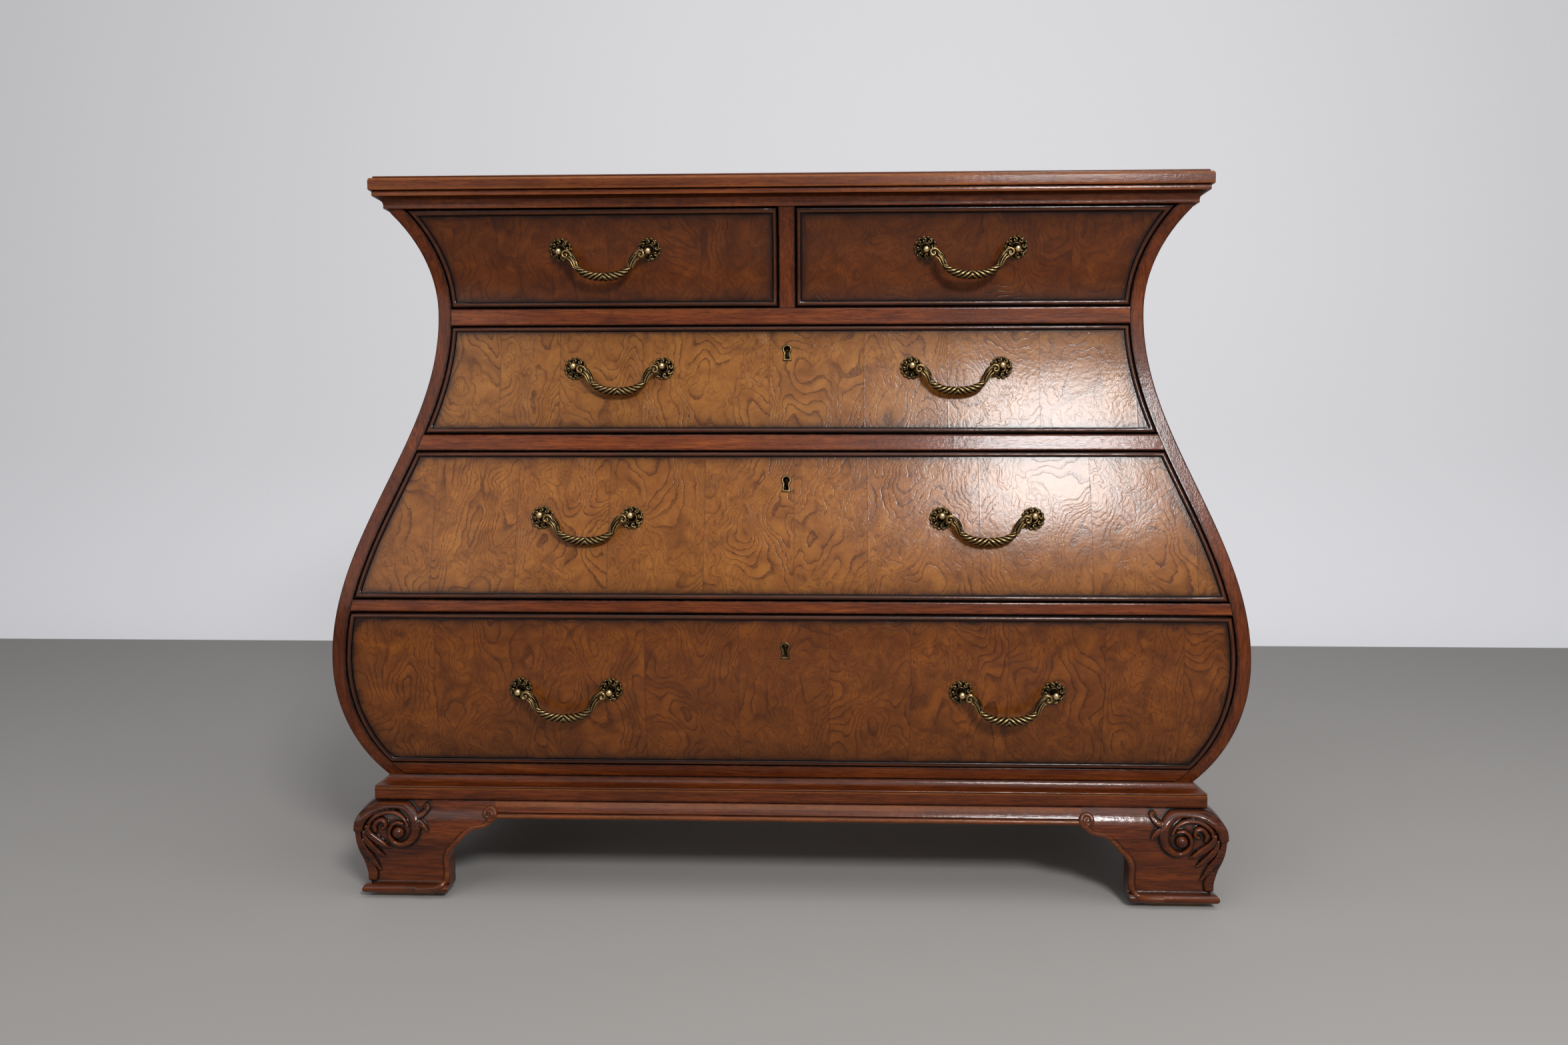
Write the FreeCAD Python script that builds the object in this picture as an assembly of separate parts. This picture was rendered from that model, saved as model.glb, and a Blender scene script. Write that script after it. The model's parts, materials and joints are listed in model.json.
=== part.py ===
import FreeCAD, Part
import math
import os

from FreeCAD import Vector

# A bombe chest of two small and three long drawers on ogee bracket feet.
# Millimetres. X runs across the front, -Y is the way the drawers open, Z is up.
# The origin lies on the floor, in the middle of the chest's whole outline, its pulls included.

# The case: one swelling line shapes the sides, the front and every drawer.
belly_width = 1192.0  # across the sides at their widest
waist_width = 948.0  # across the sides at their narrowest
depth = 560.0  # from the belly's front to the back edge of the top
front_swell = 81.0  # how far the front's belly stands out beyond its waist
belly_rise = 163.0  # height of the belly above the foot of the frame
waist_drop = 132.0  # depth of the waist below the head of the frame
tuck_share = 0.467  # share of the swell that is lost again at the frame's foot
tuck_axis = 230.0  # upright half axis of the ellipse under the belly
flare_share = 0.446  # share of the swell that comes back at the frame's head
flare_axis = 180.0  # upright half axis of the ellipse over the waist
stations = 16  # points that carry the swelling line from foot to head

# The frame.
stile_face = 18.0  # front stile, and thickness of the side panel behind it
stile_depth = 45.0
back_overhang = 6.0  # of the top, behind the case
back_thickness = 6.0
rear_post = 28.0
opening_heights = {1: 126.0, 2: 147.0, 3: 195.0, 4: 208.0}  # rows, from the top
rail_heights = {1: 23.0, 2: 22.0, 3: 16.0, 4: 19.0}  # the rail under each row
divider_width = 22.0  # between the two small drawers
dust_board = 5.0
groove_depth = 6.0
runner_lap = 8.0  # how far a runner reaches under its drawer's side
guide_height = 14.0
guide_width = 14.0
stop_height = 6.0
stop_width = 40.0
stop_length = 12.0
stop_clearance = 0.5  # between a stop and a closed drawer's front

# The top and its moulding.
top_slab = 16.0
top_lip = 3.0
lip_setback = 4.7
top_overhang = 17.0  # of the slab, beyond the frame's head
top_round = 3.0
crown_height = 21.0  # the moulding under the top
crown_foot = 2.5  # how far it stands out at its bottom
crown_edge = 2.0  # height of the flat at its bottom, and width of the step at its top
crown_fillet = 13.5  # how far it stands out at its top
crown_fillet_height = 7.0
crown_hollow = 3.0  # depth of its hollow

# The base.
base_height = 30.5
base_out = 14.4  # of the flat band, beyond the foot of the frame
base_band = 17.5  # height of the flat band
base_hollow = 2.2  # depth of the hollow over it
base_round = 2.0
base_inner = 45.0  # how far the base reaches in under the frame
foot_height = 124.5
foot_belly = 29.4  # furthest point of the foot, beyond the foot of the frame
foot_belly_drop = 34.0  # of that point below the base
foot_waist = 18.2
toe_out = 26.4
toe_height = 12.0
toe_cove = 3.0  # height of the step over the toe
foot_back = 2.0  # the back of a foot's bracket, inside the foot of the frame
bracket_ankle = 117.0  # width of a bracket above its toe
bracket_heel = 10.0  # radius of the toe's inner end
ankle_height = 46.0  # of the straight edge over the toe
knee = (16.0, 71.0)  # where the edge turns outwards: distance past the ankle, and height
shelf = (37.0, 91.0)  # where it turns up to the scroll
knee_bow = 3.5  # how far the edge bows between the ankle and the knee
shelf_bow = 2.0
scroll_bow = 3.5
bracket_length = 180.0  # from the corner to the end of its scroll
apron_height = 21.5
apron_bead = 8.0
apron_bead_depth = 3.5
apron_back = 12.0
glide_height = 7.0
glide_side = 76.0
glide_setback = 14.0
block_side = 45.0
rear_bracket_width = 100.0
rear_bracket_thickness = 18.0

# The drawers.
drawer_gap = 2.0  # seen all round a drawer's front
front_thickness = 22.0
bead_width = 7.0
bead_proud = 2.5
bead_depth = 9.0
bead_edge = 1.5  # bevel along both edges of a bead
box_thickness = 12.0
box_clearance = 8.0  # between a drawer's side and the narrowest part of its opening
runner_clearance = 0.3
box_heights = {1: 86.0, 2: 104.0, 3: 140.0, 4: 150.0}
box_tail = 12.0  # free length behind a closed drawer
bottom_thickness = 6.0
bottom_rise = 10.0  # of the bottom panel above the runners
bottom_groove = 5.0
tail_counts = {1: 3, 2: 3, 3: 4, 4: 5}  # dovetails at the front end of a drawer's side
tail_cover = 10.5  # wood left in front of them
tail_root, tail_tip = 0.42, 0.74  # their width in the side and at the front, as a share of their pitch

# The pulls.
turned_sides = 8  # small turned parts are drawn with this many sides
pull_spacing = 119.0  # between the balls of one pull
pull_offsets = {1: 242.5, 2: 226.0, 3: 262.0, 4: 286.5}  # middle of a pull from the chest's
pull_rises = {1: 13.0, 2: 15.0, 3: 9.0, 4: 4.0}  # above the middle of the drawer's front
plate_radius = 15.0
plate_lobes = 8
plate_notch = 0.88  # radius between the lobes, as a share of the plate's
plate_rim_thickness = 1.6
plate_dome = 9.0  # foot radius of the dome in the middle of a plate
plate_thickness = 3.4  # at the top of its dome
post_radius = 2.2
ball_radius = 4.8
ball_standoff = 16.0
nut_width = 8.0
nut_thickness = 4.0
nut_seat = 0.1  # between the nut and the hollow inner face of a front
pin_radius = 1.8
pin_clearance = 0.05
pin_depth = 2.5  # how far the pin reaches past the middle of the ball
pin_root = 2.0  # how far the pin reaches into the bail
bail_gap = 0.6  # least gap between a bail and the drawer over its whole swing
swing_limit = 170.0
# Half of a bail, from its end to its middle: distance from the middle, drop, radius.
bail_line = (
    (52.5, 0.0, 2.3),
    (46.5, 0.8, 3.0),
    (40.8, 5.5, 3.7),
    (36.8, 15.0, 3.4),
    (33.8, 22.0, 2.7),
    (25.5, 29.2, 4.4),
    (12.8, 32.9, 5.2),
    (0.0, 33.6, 5.4),
)
bail_sides = 6

# The locks of the long drawers.
keyhole_drops = {2: 31.0, 3: 37.0, 4: 41.0}  # below the top edge of the drawer's front
keyhole_radius = 3.7
keyhole_drop = 12.5
plate_rim = 3.4  # width of the brass rim round the keyhole
plate_inlay = 2.5
plate_stand = 0.3
lock_width = 62.0
lock_height = 56.0
lock_thickness = 11.0
lock_cover = 9.8  # wood and bead left in front of the lock at the drawer's top edge
key_pin_radius = 1.5
bolt_width = 26.0
bolt_thickness = 5.0
bolt_length = 24.0
bolt_clearance = 0.3
bolt_throw = 9.0
mortise_clearance = 1.0

# Heights that follow from those sizes.
side_swell = (belly_width - waist_width) / 2
base_foot = glide_height + foot_height
frame_foot = base_foot + base_height
rows = sorted(opening_heights)
frame_head = frame_foot + sum(opening_heights.values()) + sum(rail_heights.values())
frame_top = frame_head + crown_height
height = frame_top + top_slab + top_lip
belly_level = frame_foot + belly_rise
waist_level = frame_head - waist_drop
far = belly_width + depth  # longer than anything here


def ellipse_share(run, axis, full_run, full_share):
    """How much of full_share an elliptic arc has covered after run of its full_run."""
    def fall(distance):
        return 1 - math.sqrt(1 - (distance / axis) ** 2)

    return full_share * fall(run) / fall(full_run)


def swell(z):
    """The swelling line: 0 at the waist, 1 at the belly."""
    if z > waist_level:
        return ellipse_share(z - waist_level, flare_axis, waist_drop, flare_share)
    if z < belly_level:
        return 1 - ellipse_share(belly_level - z, tuck_axis, belly_rise, tuck_share)
    return (1 - math.cos(math.pi * (waist_level - z) / (waist_level - belly_level))) / 2


def side_line(z):
    return waist_width / 2 + side_swell * swell(z)


def front_line(z):
    """How far the front stands out before the plane of its waist."""
    return front_swell * swell(z)


def slope(line, z):
    return line(z + 0.5) - line(z - 0.5)


def inside(line, distance):
    """The line that runs parallel to another, a distance inside it."""
    def parallel(z):
        level = z
        for _ in range(20):
            lean = math.atan(slope(line, level))
            level = z - distance * math.sin(lean)
        return line(level) - distance * math.cos(lean)

    return parallel


def opening(row):
    """Lowest and highest level of a row's drawer opening."""
    low = frame_foot + sum(rail_heights[r] for r in rows if r >= row)
    low += sum(opening_heights[r] for r in rows if r > row)
    return low, low + opening_heights[row]


def pull_level(row):
    low, high = opening(row)
    return (low + high) / 2 + pull_rises[row]


def lean(row_level):
    """Angle of the front's surface at a level, positive where it faces down."""
    return math.atan(slope(front_line, row_level))


def ball_place(row):
    """Distance before the waist's plane, and level, of the balls of a row's pulls."""
    level = pull_level(row)
    angle = lean(level)
    return (front_line(level) + ball_standoff * math.cos(angle), level - ball_standoff * math.sin(angle))


# The outline's front-most point is the belly or a pull.
pull_radius = max(ball_radius, bail_line[-1][2])
front_reach = max([front_swell] + [ball_place(row)[0] + pull_radius for row in rows])
back_reach = depth - front_swell
waist_y = (front_reach - back_reach) / 2  # where the plane of the waist's front lies
back_y = waist_y + back_reach  # back edge of the top
case_back = back_y - back_overhang
rear_line = case_back - back_thickness - rear_post  # front of the rear posts
box_back = rear_line - box_tail  # of a closed drawer
foot_x, foot_y = side_line(frame_foot), waist_y - front_line(frame_foot)
head_x, head_y = side_line(frame_head), waist_y - front_line(frame_head)


# Small helpers for solids.

def box(x0, x1, y0, y1, z0, z1):
    return Part.makeBox(x1 - x0, y1 - y0, z1 - z0, Vector(x0, y0, z0))


def slab(z0, z1):
    """All that lies between two levels."""
    return box(-far, far, -far, far, z0, z1)


def common(first, *others):
    for other in others:
        first = first.common(other)
    return first


def mirrored(shape):
    return shape.mirror(Vector(0, 0, 0), Vector(1, 0, 0))


def prism(edges, direction):
    return Part.Face(Part.Wire(Part.__sortEdges__(edges))).extrude(direction)


def polygon(points, direction):
    return flat(points).extrude(direction)


def spline(points):
    curve = Part.BSplineCurve()
    curve.interpolate(points)
    return curve.toShape()


def line(start, end):
    return Part.makeLine(start, end)


def outline(points):
    return [line(a, b) for a, b in zip(points, points[1:])]


def bow(place, start, end, rise):
    """Arc between two points of a section that rises to the left of its chord."""
    (p0, z0), (p1, z1) = start, end
    length = math.hypot(p1 - p0, z1 - z0)
    middle = place((p0 + p1) / 2 - (z1 - z0) / length * rise, (z0 + z1) / 2 + (p1 - p0) / length * rise)
    return Part.Arc(place(p0, z0), middle, place(p1, z1)).toShape()


def quarter_rise(radius):
    """Rise of a quarter circle over its chord."""
    return radius * (1 - math.sqrt(0.5))


def flat(points):
    return Part.Face(Part.makePolygon(list(points) + [points[0]]))


def ring(centre, right, up, radius, sides):
    """Corners of a regular polygon about a centre, in the plane of two unit vectors."""
    angles = [2 * math.pi * n / sides for n in range(sides)]
    return [centre + right * (radius * math.cos(a)) + up * (radius * math.sin(a)) for a in angles]


def faceted(rings):
    """Solid with flat sides, through rings that have equally many corners."""
    faces = [flat(rings[0]), flat(rings[-1])]
    for near, ahead in zip(rings, rings[1:]):
        for n in range(len(near)):
            faces.append(flat((near[n - 1], near[n], ahead[n])))
            faces.append(flat((near[n - 1], ahead[n], ahead[n - 1])))
    solid = Part.Solid(Part.Shell(faces))
    return solid if solid.Volume > 0 else solid.reversed()


def turned(profile):
    """Small turned part along Y, through its radius at each distance to the front."""
    across, up = Vector(1, 0, 0), Vector(0, 0, 1)
    rings = [ring(Vector(0, -out, 0), across, up, radius, turned_sides) for radius, out in profile]
    return faceted(rings).removeSplitter()


def levels():
    step = (frame_head - frame_foot) / (stations - 1)
    return [frame_foot + step * n for n in range(stations)]


cache = {}


def between_sides(distance):
    """The space between the sides, each moved in by a distance."""
    key = ("side", distance)
    if key not in cache:
        parallel = inside(side_line, distance)
        right = [Vector(parallel(z), -far, z) for z in levels()]
        left = [Vector(-p.x, -far, p.z) for p in right]
        edges = [spline(right), spline(left), line(left[0], right[0])]
        for p in (right[-1], left[-1]):
            edges.append(line(p, Vector(p.x, -far, frame_top)))
        edges.append(line(Vector(left[-1].x, -far, frame_top), Vector(right[-1].x, -far, frame_top)))
        cache[key] = prism(edges, Vector(0, 2 * far, 0))
    return cache[key]


def behind_front(distance):
    """The space behind the front, moved in by a distance, as far as the back of the case."""
    key = ("front", distance)
    if key not in cache:
        parallel = inside(front_line, distance)
        front = [Vector(-far, waist_y - parallel(z), z) for z in levels()]
        head = Vector(-far, front[-1].y, frame_top)
        back = [Vector(-far, case_back, z) for z in (frame_top, frame_foot)]
        edges = [spline(front), line(front[-1], head), line(head, back[0])]
        edges += [line(back[0], back[1]), line(back[1], front[0])]
        cache[key] = prism(edges, Vector(2 * far, 0, 0))
    return cache[key]


def front_layer(outer, inner):
    """A layer of the front, between two distances inside its surface."""
    return behind_front(outer).cut(behind_front(inner))


def on_front(shape, x, level):
    """Puts a shape made about the origin, with its outside to -Y, square on the front."""
    placed = shape.copy()
    placed.rotate(Vector(0, 0, 0), Vector(1, 0, 0), math.degrees(lean(level)))
    placed.translate(Vector(x, waist_y - front_line(level), level))
    return placed


# The case.

def top_board():
    """Slab with rounded edges and a low lip set back from them."""
    x, y = head_x + top_overhang, head_y - top_overhang
    board = box(-x, x, y, back_y, frame_top, frame_top + top_slab)
    front_edges = [e for e in board.Edges if e.BoundBox.YMin < back_y - 1]
    board = board.makeFillet(top_round, front_edges)
    x, y = x - lip_setback, y + lip_setback
    lip = box(-x, x, y, back_y, frame_top + top_slab - top_round, height)
    rim = [e for e in lip.Edges if e.BoundBox.ZMin > height - 1 and e.BoundBox.YMin < back_y - 1]
    lip = lip.makeChamfer(top_lip * 0.7, rim)
    return [board.fuse(lip).removeSplitter()]


def moulded_run(section, corner_x, corner_y, reach, y_end):
    """A section, run mitred round the front corners: front, right and left lengths.

    section(place) gives the edges of the moulding's section, with place turning an outward
    distance and a level into a point. reach is the section's furthest inward and outward point.
    """
    inner, outer = reach
    front = prism(section(lambda p, z: Vector(-far, corner_y - p, z)), Vector(2 * far, 0, 0))
    right = prism(section(lambda p, z: Vector(corner_x + p, -far, z)), Vector(0, 2 * far, 0))
    near = [(corner_x + p, corner_y - p) for p in (outer, -inner)]
    up = Vector(0, 0, 2 * far)

    def plan(points):
        return polygon([Vector(x, y, -far) for x, y in points], up)

    front_plan = plan([(-near[0][0], near[0][1]), near[0], near[1], (-near[1][0], near[1][1])])
    right_plan = plan([near[0], (near[0][0], y_end), (near[1][0], y_end), near[1]])
    right = right.common(right_plan)
    return [front.common(front_plan), right, mirrored(right)]


def crown_section(place):
    """Fillet over a hollow over a thin edge."""
    low, top = frame_head, frame_top
    brow = top - crown_fillet_height
    start, end = (crown_foot, low + crown_edge), (crown_fillet - crown_edge, brow)
    corners = [end, (crown_fillet, brow), (crown_fillet, top), (0, top), (0, low), (crown_foot, low), start]
    return outline([place(*c) for c in corners]) + [bow(place, start, end, crown_hollow)]


def base_section(place):
    """Hollow over a round nose over a flat band."""
    band_top = base_foot + base_band
    start, end = (0, frame_foot), (base_out - base_round, band_top + base_round)
    corners = [(base_out, band_top), (base_out, base_foot), (-base_inner, base_foot),
               (-base_inner, frame_foot), start]
    edges = outline([place(*c) for c in corners]) + [bow(place, start, end, -base_hollow)]
    return edges + [bow(place, end, corners[0], quarter_rise(base_round))]


def arc_rise(p, z):
    """Rise of an arc that leaves its start upright and goes over by p while it climbs z."""
    radius = (p ** 2 + z ** 2) / (2 * abs(p))
    return radius - math.sqrt(radius ** 2 - (p ** 2 + z ** 2) / 4)


def foot_face(z):
    """Outward distance of the foot's upper, round part at a level."""
    over = foot_belly - base_out
    radius = (over ** 2 + foot_belly_drop ** 2) / (2 * over)
    below = z - (base_foot - foot_belly_drop)
    return foot_belly - radius + math.sqrt(radius ** 2 - below ** 2)


def foot_section(place):
    """Ogee face over a rounded toe."""
    low, toe_top = glide_height, glide_height + toe_height
    top, belly = (base_out, base_foot), (foot_belly, base_foot - foot_belly_drop)
    waist = (foot_waist, toe_top + toe_cove)
    turn = ((belly[0] + waist[0]) / 2, (belly[1] + waist[1]) / 2)
    rise = arc_rise(belly[0] - turn[0], belly[1] - turn[1])
    edges = [bow(place, top, belly, arc_rise(foot_belly - base_out, foot_belly_drop))]
    edges += [bow(place, belly, turn, rise), bow(place, turn, waist, -rise)]
    nose = toe_height / 2
    edges += outline([place(*waist), place(foot_waist, toe_top), place(toe_out - nose, toe_top)])
    edges.append(bow(place, (toe_out - nose, toe_top), (toe_out - nose, low), nose))
    return edges + outline([place(toe_out - nose, low), place(-foot_back, low), place(-foot_back, base_foot),
                            place(*top)])


def apron_section(place):
    """The upper part of the foot's ogee over a small bead."""
    low, bead_top = base_foot - apron_height, base_foot - apron_height + apron_bead
    top, brow, lip = (base_out, base_foot), (foot_face(bead_top), bead_top), (foot_face(bead_top), low)
    middle_level = (base_foot + bead_top) / 2
    face = Part.Arc(place(*top), place(foot_face(middle_level), middle_level), place(*brow)).toShape()
    edges = [face, bow(place, brow, lip, apron_bead_depth)]
    return edges + outline([place(*c) for c in (lip, (-apron_back, low), (-apron_back, base_foot), top)])


def bracket(place, direction):
    """Outline of a bracket foot as a solid; place turns a distance from its corner and a level
    into a point."""
    low, top = glide_height, base_foot
    heel = bracket_heel
    toe, ankle = (bracket_ankle - heel, low), (bracket_ankle, low + heel)
    ankle_top = (bracket_ankle, low + ankle_height)
    knee_end, shelf_end = [(bracket_ankle + s, low + z) for s, z in (knee, shelf)]
    end = (bracket_length, top - apron_height)
    edges = [line(place(0, low), place(*toe)), bow(place, toe, ankle, -quarter_rise(heel))]
    edges += [line(place(*ankle), place(*ankle_top)), bow(place, ankle_top, knee_end, knee_bow)]
    edges += [bow(place, knee_end, shelf_end, shelf_bow), bow(place, shelf_end, end, -scroll_bow)]
    edges += outline([place(*c) for c in (end, (bracket_length, top), (0, top), (0, low))])
    return prism(edges, direction)


def foot_runs():
    """The foot's section run round the front corners, before the brackets are sawn out."""
    return moulded_run(foot_section, foot_x, foot_y, (foot_back, foot_belly), case_back)


def right_front_foot():
    """Front and side bracket, mitred at the corner."""
    front, side, _ = foot_runs()
    corner_x, corner_y = foot_x + foot_belly, foot_y - foot_belly
    saw_front = bracket(lambda s, z: Vector(corner_x - s, -far, z), Vector(0, 2 * far, 0))
    saw_side = bracket(lambda s, z: Vector(0, corner_y + s, z), Vector(far, 0, 0))
    return [front.common(saw_front), side.common(saw_side)]


def right_rear_foot():
    """Shaped side bracket, and a plain bracket across the back."""
    _, side, _ = foot_runs()
    saw_side = bracket(lambda s, z: Vector(0, case_back - s, z), Vector(far, 0, 0))
    outer = foot_x - foot_back
    plain = box(outer - rear_bracket_width, outer, case_back - rear_bracket_thickness, case_back,
                glide_height, base_foot)
    return [side.common(saw_side), plain]


def both_sides(solids):
    return solids + [mirrored(solid) for solid in solids]


def glue_blocks():
    """Corner blocks behind the feet."""
    x = foot_x - foot_back
    front = foot_y + foot_back
    rear = case_back - rear_bracket_thickness
    blocks = [box(x - block_side, x, front, front + block_side, glide_height, base_foot),
              box(x - block_side, x, rear - block_side, rear, glide_height, base_foot)]
    return both_sides(blocks)


def glides():
    """Pads that stand on the floor under the corners."""
    x = foot_x + toe_out - glide_setback
    front = foot_y - toe_out + glide_setback
    pads = [box(x - glide_side, x, front, front + glide_side, 0, glide_height),
            box(x - glide_side, x, case_back - glide_side, case_back, 0, glide_height)]
    return both_sides(pads)


def base_moulding():
    solids = moulded_run(base_section, foot_x, foot_y, (base_inner, base_out), case_back)
    x = foot_x - base_inner
    return solids + [box(-x, x, case_back - base_inner, case_back, base_foot, frame_foot)]


def aprons():
    """Lengths of the apron between the brackets, across the front and along the sides."""
    front, side, _ = moulded_run(apron_section, foot_x, foot_y, (apron_back, foot_belly), case_back)
    end_x = foot_x + foot_belly - bracket_length
    front = common(front, box(-end_x, end_x, -far, far, 0, base_foot))
    y0, y1 = foot_y - foot_belly + bracket_length, case_back - bracket_length
    side = common(side, box(0, far, y0, y1, 0, base_foot))
    return [front] + both_sides([side])


def right_stile():
    frame = between_sides(0).cut(between_sides(stile_face))
    return common(frame, front_layer(0, stile_depth), box(0, far, -far, far, 0, height))


def right_side_panel():
    wall = between_sides(0).cut(between_sides(stile_face))
    return common(wall, behind_front(stile_depth), box(0, far, -far, far, 0, height))


def rail(z0, z1):
    return common(front_layer(0, stile_depth), between_sides(stile_face), slab(z0, z1))


def rail_span(row):
    low, _ = opening(row)
    return low - rail_heights[row], low


def bolt_place(row):
    """Front face and top of the lock's case, and the middle of its thickness."""
    top = opening(row)[1] - drawer_gap
    front = waist_y - front_line(top) + lock_cover
    return front, top, front + lock_thickness / 2


def front_rails():
    """Rail under each row, with a mortise for the bolt of the lock below, and the top rail."""
    rails = []
    for row in rows:
        solid = rail(*rail_span(row))
        if row + 1 in keyhole_drops:
            _, top, y = bolt_place(row + 1)
            x, half = bolt_width / 2 + mortise_clearance, bolt_thickness / 2 + mortise_clearance
            roof = top + bolt_throw + mortise_clearance
            solid = solid.cut(box(-x, x, y - half, y + half, top - 1, roof))
        rails.append(solid)
    return rails + [rail(frame_head, frame_top)]


def drawer_divider():
    low, high = opening(1)
    x = divider_width / 2
    return [common(front_layer(0, stile_depth), box(-x, x, -far, far, low, high))]


def rear_frame():
    """Posts inside the rear corners, joined by a top and a bottom rail."""
    y0, y1 = rear_line, case_back - back_thickness
    strip = between_sides(stile_face).cut(between_sides(stile_face + rear_post))
    post = common(strip, box(0, far, y0, y1, 0, height))
    across = common(between_sides(stile_face + rear_post), box(-far, far, y0, y1, 0, height))
    low = common(across, slab(*rail_span(rows[-1])))
    high = common(across, slab(frame_head, frame_top))
    return both_sides([post]) + [low, high]


def back_panel():
    board = box(-far, far, case_back - back_thickness, case_back, 0, height)
    return [common(between_sides(stile_face), board)]


def box_span(row):
    """Inner and outer side of a row's right-hand drawer box, from the chest's middle."""
    low, _ = opening(row)
    parallel = inside(side_line, stile_face)
    steps = [low + box_heights[row] * n / 10 for n in range(11)]
    outer = min(parallel(z) for z in steps) - box_clearance
    inner = divider_width / 2 + drawer_gap if row == 1 else -outer
    return inner, outer


def web_frame(row):
    """Runners, guides, dust board and stops under one row."""
    z0, z1 = rail_span(row)
    inner, outer = box_span(row)
    hollow = common(between_sides(stile_face), behind_front(stile_depth))
    y0, y1 = -far, rear_line
    edge = outer - box_thickness - runner_lap
    middle = (z0 + z1) / 2
    groove = slab(middle - dust_board / 2, middle + dust_board / 2)
    runner = common(hollow, box(edge, far, y0, y1, z0, z1))
    runner = runner.cut(common(groove, box(0, edge + groove_depth, -far, far, z0, z1)))
    board = common(hollow, groove, box(-edge - groove_depth, edge + groove_depth, y0, y1, z0, z1))
    start = outer + runner_clearance * 2
    guide = common(hollow, box(start, start + guide_width, y0, y1, z1, z1 + guide_height))
    stop_x = (inner + outer) / 2 if row == 1 else outer / 2
    back_line = inside(front_line, front_thickness)
    floor_front = waist_y - min(back_line(z1), back_line(z1 + stop_height)) + stop_clearance
    stop = box(stop_x - stop_width / 2, stop_x + stop_width / 2, floor_front, floor_front + stop_length,
               z1, z1 + stop_height)
    return both_sides([runner, guide, stop]) + [board]


def centre_runner():
    """Runner and guide behind the divider, between the two small drawers."""
    z0, z1 = rail_span(1)
    hollow = common(between_sides(stile_face), behind_front(stile_depth))
    x = divider_width / 2 + drawer_gap + box_thickness + runner_lap
    middle = (z0 + z1) / 2
    runner = common(hollow, box(-x, x, -far, rear_line, z0, z1))
    groove = slab(middle - dust_board / 2, middle + dust_board / 2)
    inner = x - groove_depth
    ends = [box(a, b, -far, far, z0, z1) for a, b in ((-x, -inner), (inner, x))]
    for end in ends:
        runner = runner.cut(common(groove, end))
    half = divider_width / 2 + drawer_gap - runner_clearance * 2
    guide = common(hollow, box(-half, half, -far, rear_line, z1, z1 + guide_height))
    return [runner, guide]


def kickers():
    """Bars over the small drawers, which stop them tipping and carry the top."""
    _, outer = box_span(1)
    hollow = common(between_sides(stile_face), behind_front(stile_depth))
    edge = outer - box_thickness - runner_lap
    side = common(hollow, box(edge, far, -far, rear_line, frame_head, frame_top))
    x = divider_width / 2 + drawer_gap + box_thickness + runner_lap
    middle = common(hollow, box(-x, x, -far, rear_line, frame_head, frame_top))
    return both_sides([side]) + [middle]


def web_frames():
    solids = centre_runner() + kickers()
    first = web_frame(1)
    board = first.pop()
    half = divider_width / 2 + drawer_gap + box_thickness + runner_lap - groove_depth
    right_board = common(board, box(half, far, -far, far, 0, height))
    solids += first + both_sides([right_board])
    for row in rows[1:]:
        solids += web_frame(row)
    return solids


# The drawers. Each is made for the right-hand or only place of its row.

def front_window(row, inset):
    """All that lies inside a drawer front's outline, moved in by a distance."""
    low, high = opening(row)
    edge = drawer_gap + inset
    space = common(between_sides(stile_face + edge), slab(low + edge, high - edge))
    if row == 1:
        space = common(space, box(divider_width / 2 + edge, far, -far, far, low, high))
    return space


def bead_corners(row, inset):
    """Corners of that outline, anticlockwise from the lower left, as distance and level."""
    low, high = opening(row)
    edge = drawer_gap + inset
    parallel = inside(side_line, stile_face + edge)
    z0, z1 = low + edge, high - edge
    left = [divider_width / 2 + edge] * 2 if row == 1 else [-parallel(z0), -parallel(z1)]
    return [(left[0], z0), (parallel(z0), z0), (parallel(z1), z1), (left[1], z1)]


def bead_ring(row):
    """Bead round a drawer's front in one piece, bevelled along its edges."""
    layer = front_layer(-bead_proud, bead_depth)
    frame = common(front_window(row, 0), layer).cut(front_window(row, bead_width))
    face = front_layer(-bead_proud - 1, -bead_proud + 0.1)  # all that lies about the bead's face
    proud = [e for e in frame.Edges if all(face.isInside(v.Point, 0.01, True) for v in e.Vertexes)]
    return frame.makeChamfer(bead_edge, proud)


def drawer_beads(row):
    """Lengths of the bead, mitred at its four corners."""
    ring = bead_ring(row)
    mitres = []
    for (x0, z0), (x1, z1) in zip(bead_corners(row, 0), bead_corners(row, bead_width)):
        reach = 5.0  # the mitre's line goes on past both corners by this many bead widths
        dx, dz = x0 - x1, z0 - z1
        mitres.append((Vector(x0 + reach * dx, -far, z0 + reach * dz),
                       Vector(x1 - reach * dx, -far, z1 - reach * dz)))
    beads = []
    for n, (outer, inner) in enumerate(mitres):
        next_outer, next_inner = mitres[(n + 1) % 4]
        wedge = polygon([outer, next_outer, next_inner, inner], Vector(0, 2 * far, 0))
        beads.append(ring.common(wedge))
    return beads


def pull_places(row):
    """Middle of each pull on the right-hand or only drawer of a row."""
    offset = pull_offsets[row]
    return [offset] if row == 1 else [-offset, offset]


def ball_places(row):
    half = pull_spacing / 2
    return [x + side * half for x in pull_places(row) for side in (-1, 1)]


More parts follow.
